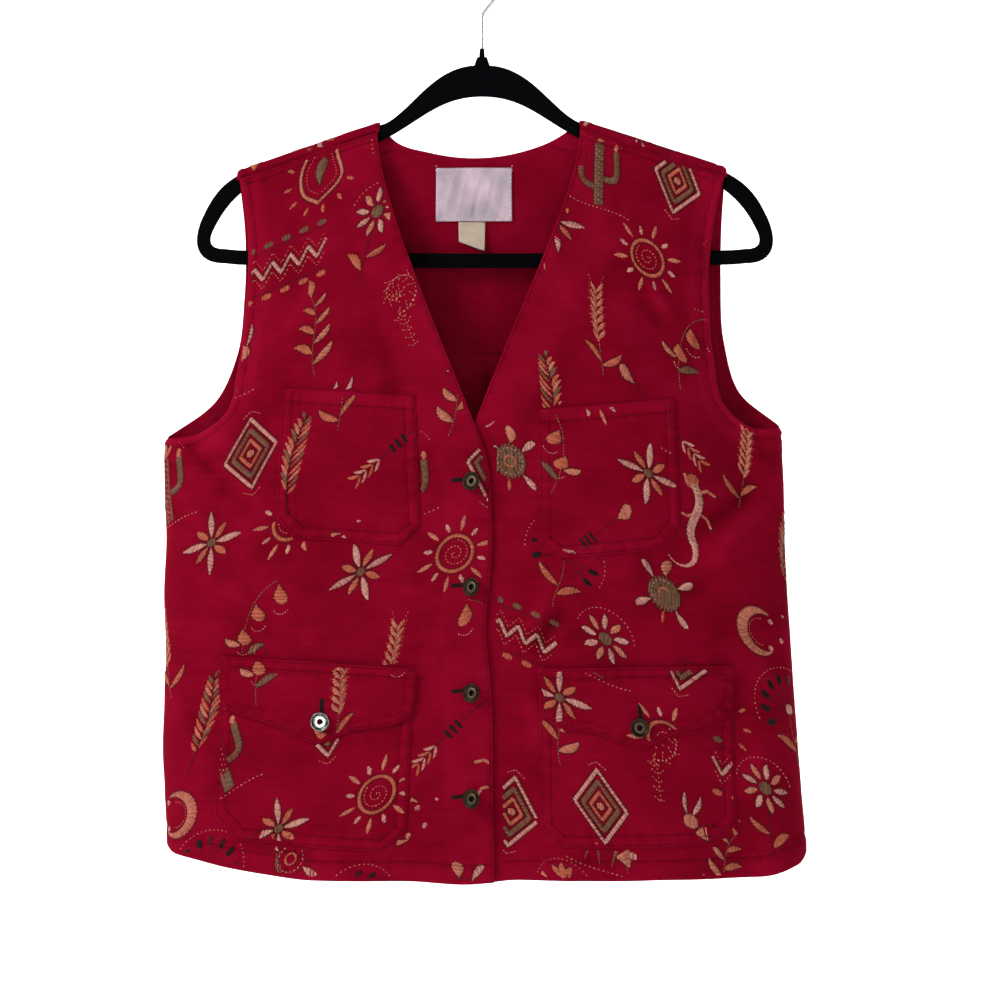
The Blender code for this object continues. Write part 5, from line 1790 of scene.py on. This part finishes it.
# %% Flock and wire
FLOCK, flock, surface = new_material("black flock", 1.0, (0.0022, 0.0024, 0.0028))
pile = flock.object_noise(1600, 4)
flock_finish = {
    "Base Color": flock.tones(pile, (0.0, (0.0006, 0.0008, 0.0010)), (1.0, (0.0026, 0.0030, 0.0036))),
    "Normal": flock.bump(pile, 0.5, 0.0003),
    "Specular IOR Level": 0.0,
    "Sheen Weight": 0.012,
    "Sheen Roughness": 0.4,
}
flock.feed(surface, flock_finish)
WIRE, polish, surface = new_material("polished wire", 0.18, (0.55, 0.55, 0.54), 1.0)
polish.feed(surface, {"Roughness": polish.mixed(0.1, (polish.object_noise(450), 0.16))})

# %% The frame's outline
HANGER_THICK = 5.4
HANGER_EDGE = 1.9
HANGER_END = 223.3
HANGER_SHIFT = 2.3
ARM_PLAY = 1.1
ARM_SPAN = (74.0, 166.0)
ARM_UNDERSIDE = [(79.0, 12.6), (163.0, 10.4)]
BAR_TOP = -226.2
BAR_DEPTH = 11.2
BAR_SAG = 3.6
ARCH_TOP = [(6.0, -84.6), (38.0, -86.6), (53.0, -117.6)]
ARCH_UNDERSIDE = [(0.0, -108.6), (34.0, -108.6), (48.0, -128.5)]
END_BEND = [(23.3, -170.0), (14.3, -182.0), (4.3, -204.0)]
END_TIP = [(4.3, -204.0), (-2.7, -221.0), (-0.7, BAR_TOP - BAR_DEPTH), (22.0, BAR_TOP - BAR_DEPTH)]
HOLLOW_BEND = [(37.3, -177.0), (23.3, -192.0), (15.3, -208.0)]
HOLLOW_TIP = [(15.3, -208.0), (8.3, -220.0), (10.3, BAR_TOP), (22.0, BAR_TOP)]
NECK_TOP = -78.2
NECK_HALF = 3.8
COLLAR_TOP = -71.4
COLLAR_RADIUS = 1.9
WIRE_RADIUS = 1.3
HOOK_RADIUS = 18.0
HOOK_BEND_DEG = 38.7
HOOK_ELBOW = 4.0
HOOK_END_DEG = 197.0


def arm_top(x):
    return float(crest(x)) - CLOTH - ARM_PLAY


def from_end(sign, points):
    return [(sign * (HANGER_END - inward) + HANGER_SHIFT, z) for inward, z in points]


def frame_half(sign, arch, depths, bend, tip):
    """Half of the frame's outline or of its hollow: arch, straight arm, rounded end."""
    inner_arm, outer_arm = ((sign * x, arm_top(sign * x) - deep) for x, deep in depths)
    start = [(sign * x, z) for x, z in arch] + [inner_arm]
    straight = line(inner_arm, outer_arm, 6)[1:-1]
    turn = [outer_arm, *from_end(sign, bend)]
    return np.concatenate([bezier(start, 3), straight, bezier(turn, 3), bezier(from_end(sign, tip), 2.5)[1:]])


def bar(start, end, z):
    edge = line((start[0], z), (end[0], z), 10)[1:-1]
    sag = BAR_SAG * (1 - (edge[:, 0] / HANGER_END) ** 2)
    return edge - np.stack([np.zeros(len(edge)), sag], axis=-1)


def around(arch, depths, bend, tip, level):
    """The right half, the bar at one level, and the left half, as three runs."""
    right, left = (frame_half(sign, arch, depths, bend, tip) for sign in (1, -1))
    return right, bar(right[-1], left[-1], level), left[::-1]


def add_run(curve, points, axis, cyclic):
    """A straight-sided line through flat points in millimetres, which have no size along one axis."""
    spline = curve.splines.new("POLY")
    spline.points.add(len(points) - 1)
    places = np.insert(points * MM, axis, 0, axis=1)
    spline.points.foreach_set("co", np.column_stack([places, np.ones(len(points))]).ravel())
    spline.use_cyclic_u = cyclic


def hanger_body():
    neck = [(-NECK_HALF, NECK_TOP), (NECK_HALF, NECK_TOP)]
    tops = [(x, 0.0) for x in ARM_SPAN]
    outline = np.concatenate([neck, *around(ARCH_TOP, tops, END_BEND, END_TIP, BAR_TOP - BAR_DEPTH)])
    hollow = np.concatenate(around(ARCH_UNDERSIDE, ARM_UNDERSIDE, HOLLOW_BEND, HOLLOW_TIP, BAR_TOP))[:-1]
    shape = bpy.data.curves.new("hanger_frame", "CURVE")
    shape.dimensions, shape.fill_mode = "2D", "BOTH"
    shape.bevel_depth, shape.bevel_resolution = HANGER_EDGE * MM, 3
    shape.extrude = (HANGER_THICK / 2 - HANGER_EDGE) * MM
    shape.offset = -HANGER_EDGE * MM
    for loop in (outline, hollow):
        add_run(shape, loop, 2, True)
    body = add_object("hanger_frame", shape)
    body.rotation_euler.x = pi / 2
    return body


def hanger_hook():
    """The wire: up from the collar, a bend to one side, and round over the rail."""
    bend, middle = radians(HOOK_BEND_DEG), WIRE_RADIUS - HOOK_RADIUS
    leave = (HOOK_RADIUS * cos(bend), middle - HOOK_RADIUS * sin(bend))
    elbow = (0.0, leave[1] - leave[0] * cos(bend) / sin(bend))
    before = (0.0, elbow[1] - HOOK_ELBOW)
    after = (HOOK_ELBOW * sin(bend), elbow[1] + HOOK_ELBOW * cos(bend))
    turns = np.radians(np.arange(-HOOK_BEND_DEG, HOOK_END_DEG, 4))
    round_rail = polar(HOOK_RADIUS, turns) + (0, middle)
    rise, turn = line((0, COLLAR_TOP + GAP), before, 4), bezier([before, elbow, elbow, after], 0.8)
    route = np.concatenate([rise, turn[1:], line(after, leave, 3)[1:], round_rail[1:]])
    wire = bpy.data.curves.new("hanger_wire", "CURVE")
    wire.dimensions, wire.use_fill_caps = "3D", True
    wire.bevel_depth, wire.bevel_resolution = WIRE_RADIUS * MM, 5
    add_run(wire, route, 1, False)
    return add_object("hanger_wire", wire)


foot = NECK_TOP + GAP
collar_rows = [
    (0.0, COLLAR_TOP, 0),
    (COLLAR_RADIUS * 0.7, COLLAR_TOP, 0),
    (COLLAR_RADIUS * 0.9, COLLAR_TOP - 0.4, 0),
    (COLLAR_RADIUS, COLLAR_TOP - 1.5, 0),
    (COLLAR_RADIUS * 1.15, foot, 0),
    (0.0, foot, 0),
]
fit(turned("hanger_collar_turned", collar_rows, 28), FLOCK, "hanger_collar")
fit(hanger_body(), FLOCK, "hanger_body")
fit(hanger_hook(), WIRE, "hanger_hook")
print("hanger and", FRONT_BUTTONS + len(FLAP_BUTTONS), "buttons")

# %% [markdown]
# ## Light and floor
#
# The photograph is evenly lit with white behind. A soft light stands high at the left front and a
# larger, weaker one low in front. Two more light the wall of a pale sweep, which fills the rest.

# %% Stage and lights
FLOOR_Z = -1.15
WALL_Y = 2.5
WALL_TOP = 3.4
FLOOR_FRONT = -3.2
FLOOR_SIDES = (-4.5, 4.5)
SWEEP_BEND = 0.8
AMBIENT = 0.32
MIDDLE = (0.0, 0.0, -0.42)
LIGHTS = {
    # place, what it points at, size in metres, power in watts
    "key": ((-1.35, -1.05, 0.55), MIDDLE, 0.6, 35),
    "fill": ((0.15, -2.4, -0.3), MIDDLE, 1.2, 19),
    "wall light left": ((-1.9, 1.0, 0.9), (0.3, WALL_Y, -0.3), 1.2, 60),
    "wall light right": ((1.9, 1.0, 0.9), (-0.3, WALL_Y, -0.3), 1.2, 60),
}


def sweep():
    """A floor that curves up into a wall behind."""
    turns = [radians(a) for a in range(0, 91, 10)]
    bend = [(WALL_Y - SWEEP_BEND * (1 - sin(a)), FLOOR_Z + SWEEP_BEND * (1 - cos(a))) for a in turns]
    profile = [(FLOOR_FRONT, FLOOR_Z), *bend, (WALL_Y, WALL_TOP)]
    points = np.array([(x, y, z) for x in FLOOR_SIDES for y, z in profile]) / MM
    count = len(profile)
    obj = add_mesh("sweep", points, [(i, count + i, count + i + 1, i + 1) for i in range(count - 1)])
    made, nodes, surface = new_material("pale paper", 0.9, (0.9, 0.9, 0.9))
    nodes.feed(surface, {"Emission Color": (1, 1, 1, 1), "Emission Strength": 0.35})
    obj.data.materials.append(made)


sweep()
for name, (place, aim, size, power) in LIGHTS.items():
    lamp = bpy.data.lights.new(name, "AREA")
    lamp.shape, lamp.size, lamp.energy = "SQUARE", size, power
    obj = add_object(name, lamp)
    obj.location = place
    obj.rotation_euler = (Vector(aim) - Vector(place)).to_track_quat("-Z", "Y").to_euler()
world = bpy.data.worlds.new("room")
world.use_nodes = True
Nodes(world.node_tree).feed(world.node_tree.nodes["Background"], {"Color": (1, 1, 1, 1), "Strength": AMBIENT})
bpy.context.scene.world = world
bpy.context.scene.view_settings.view_transform = "Standard"
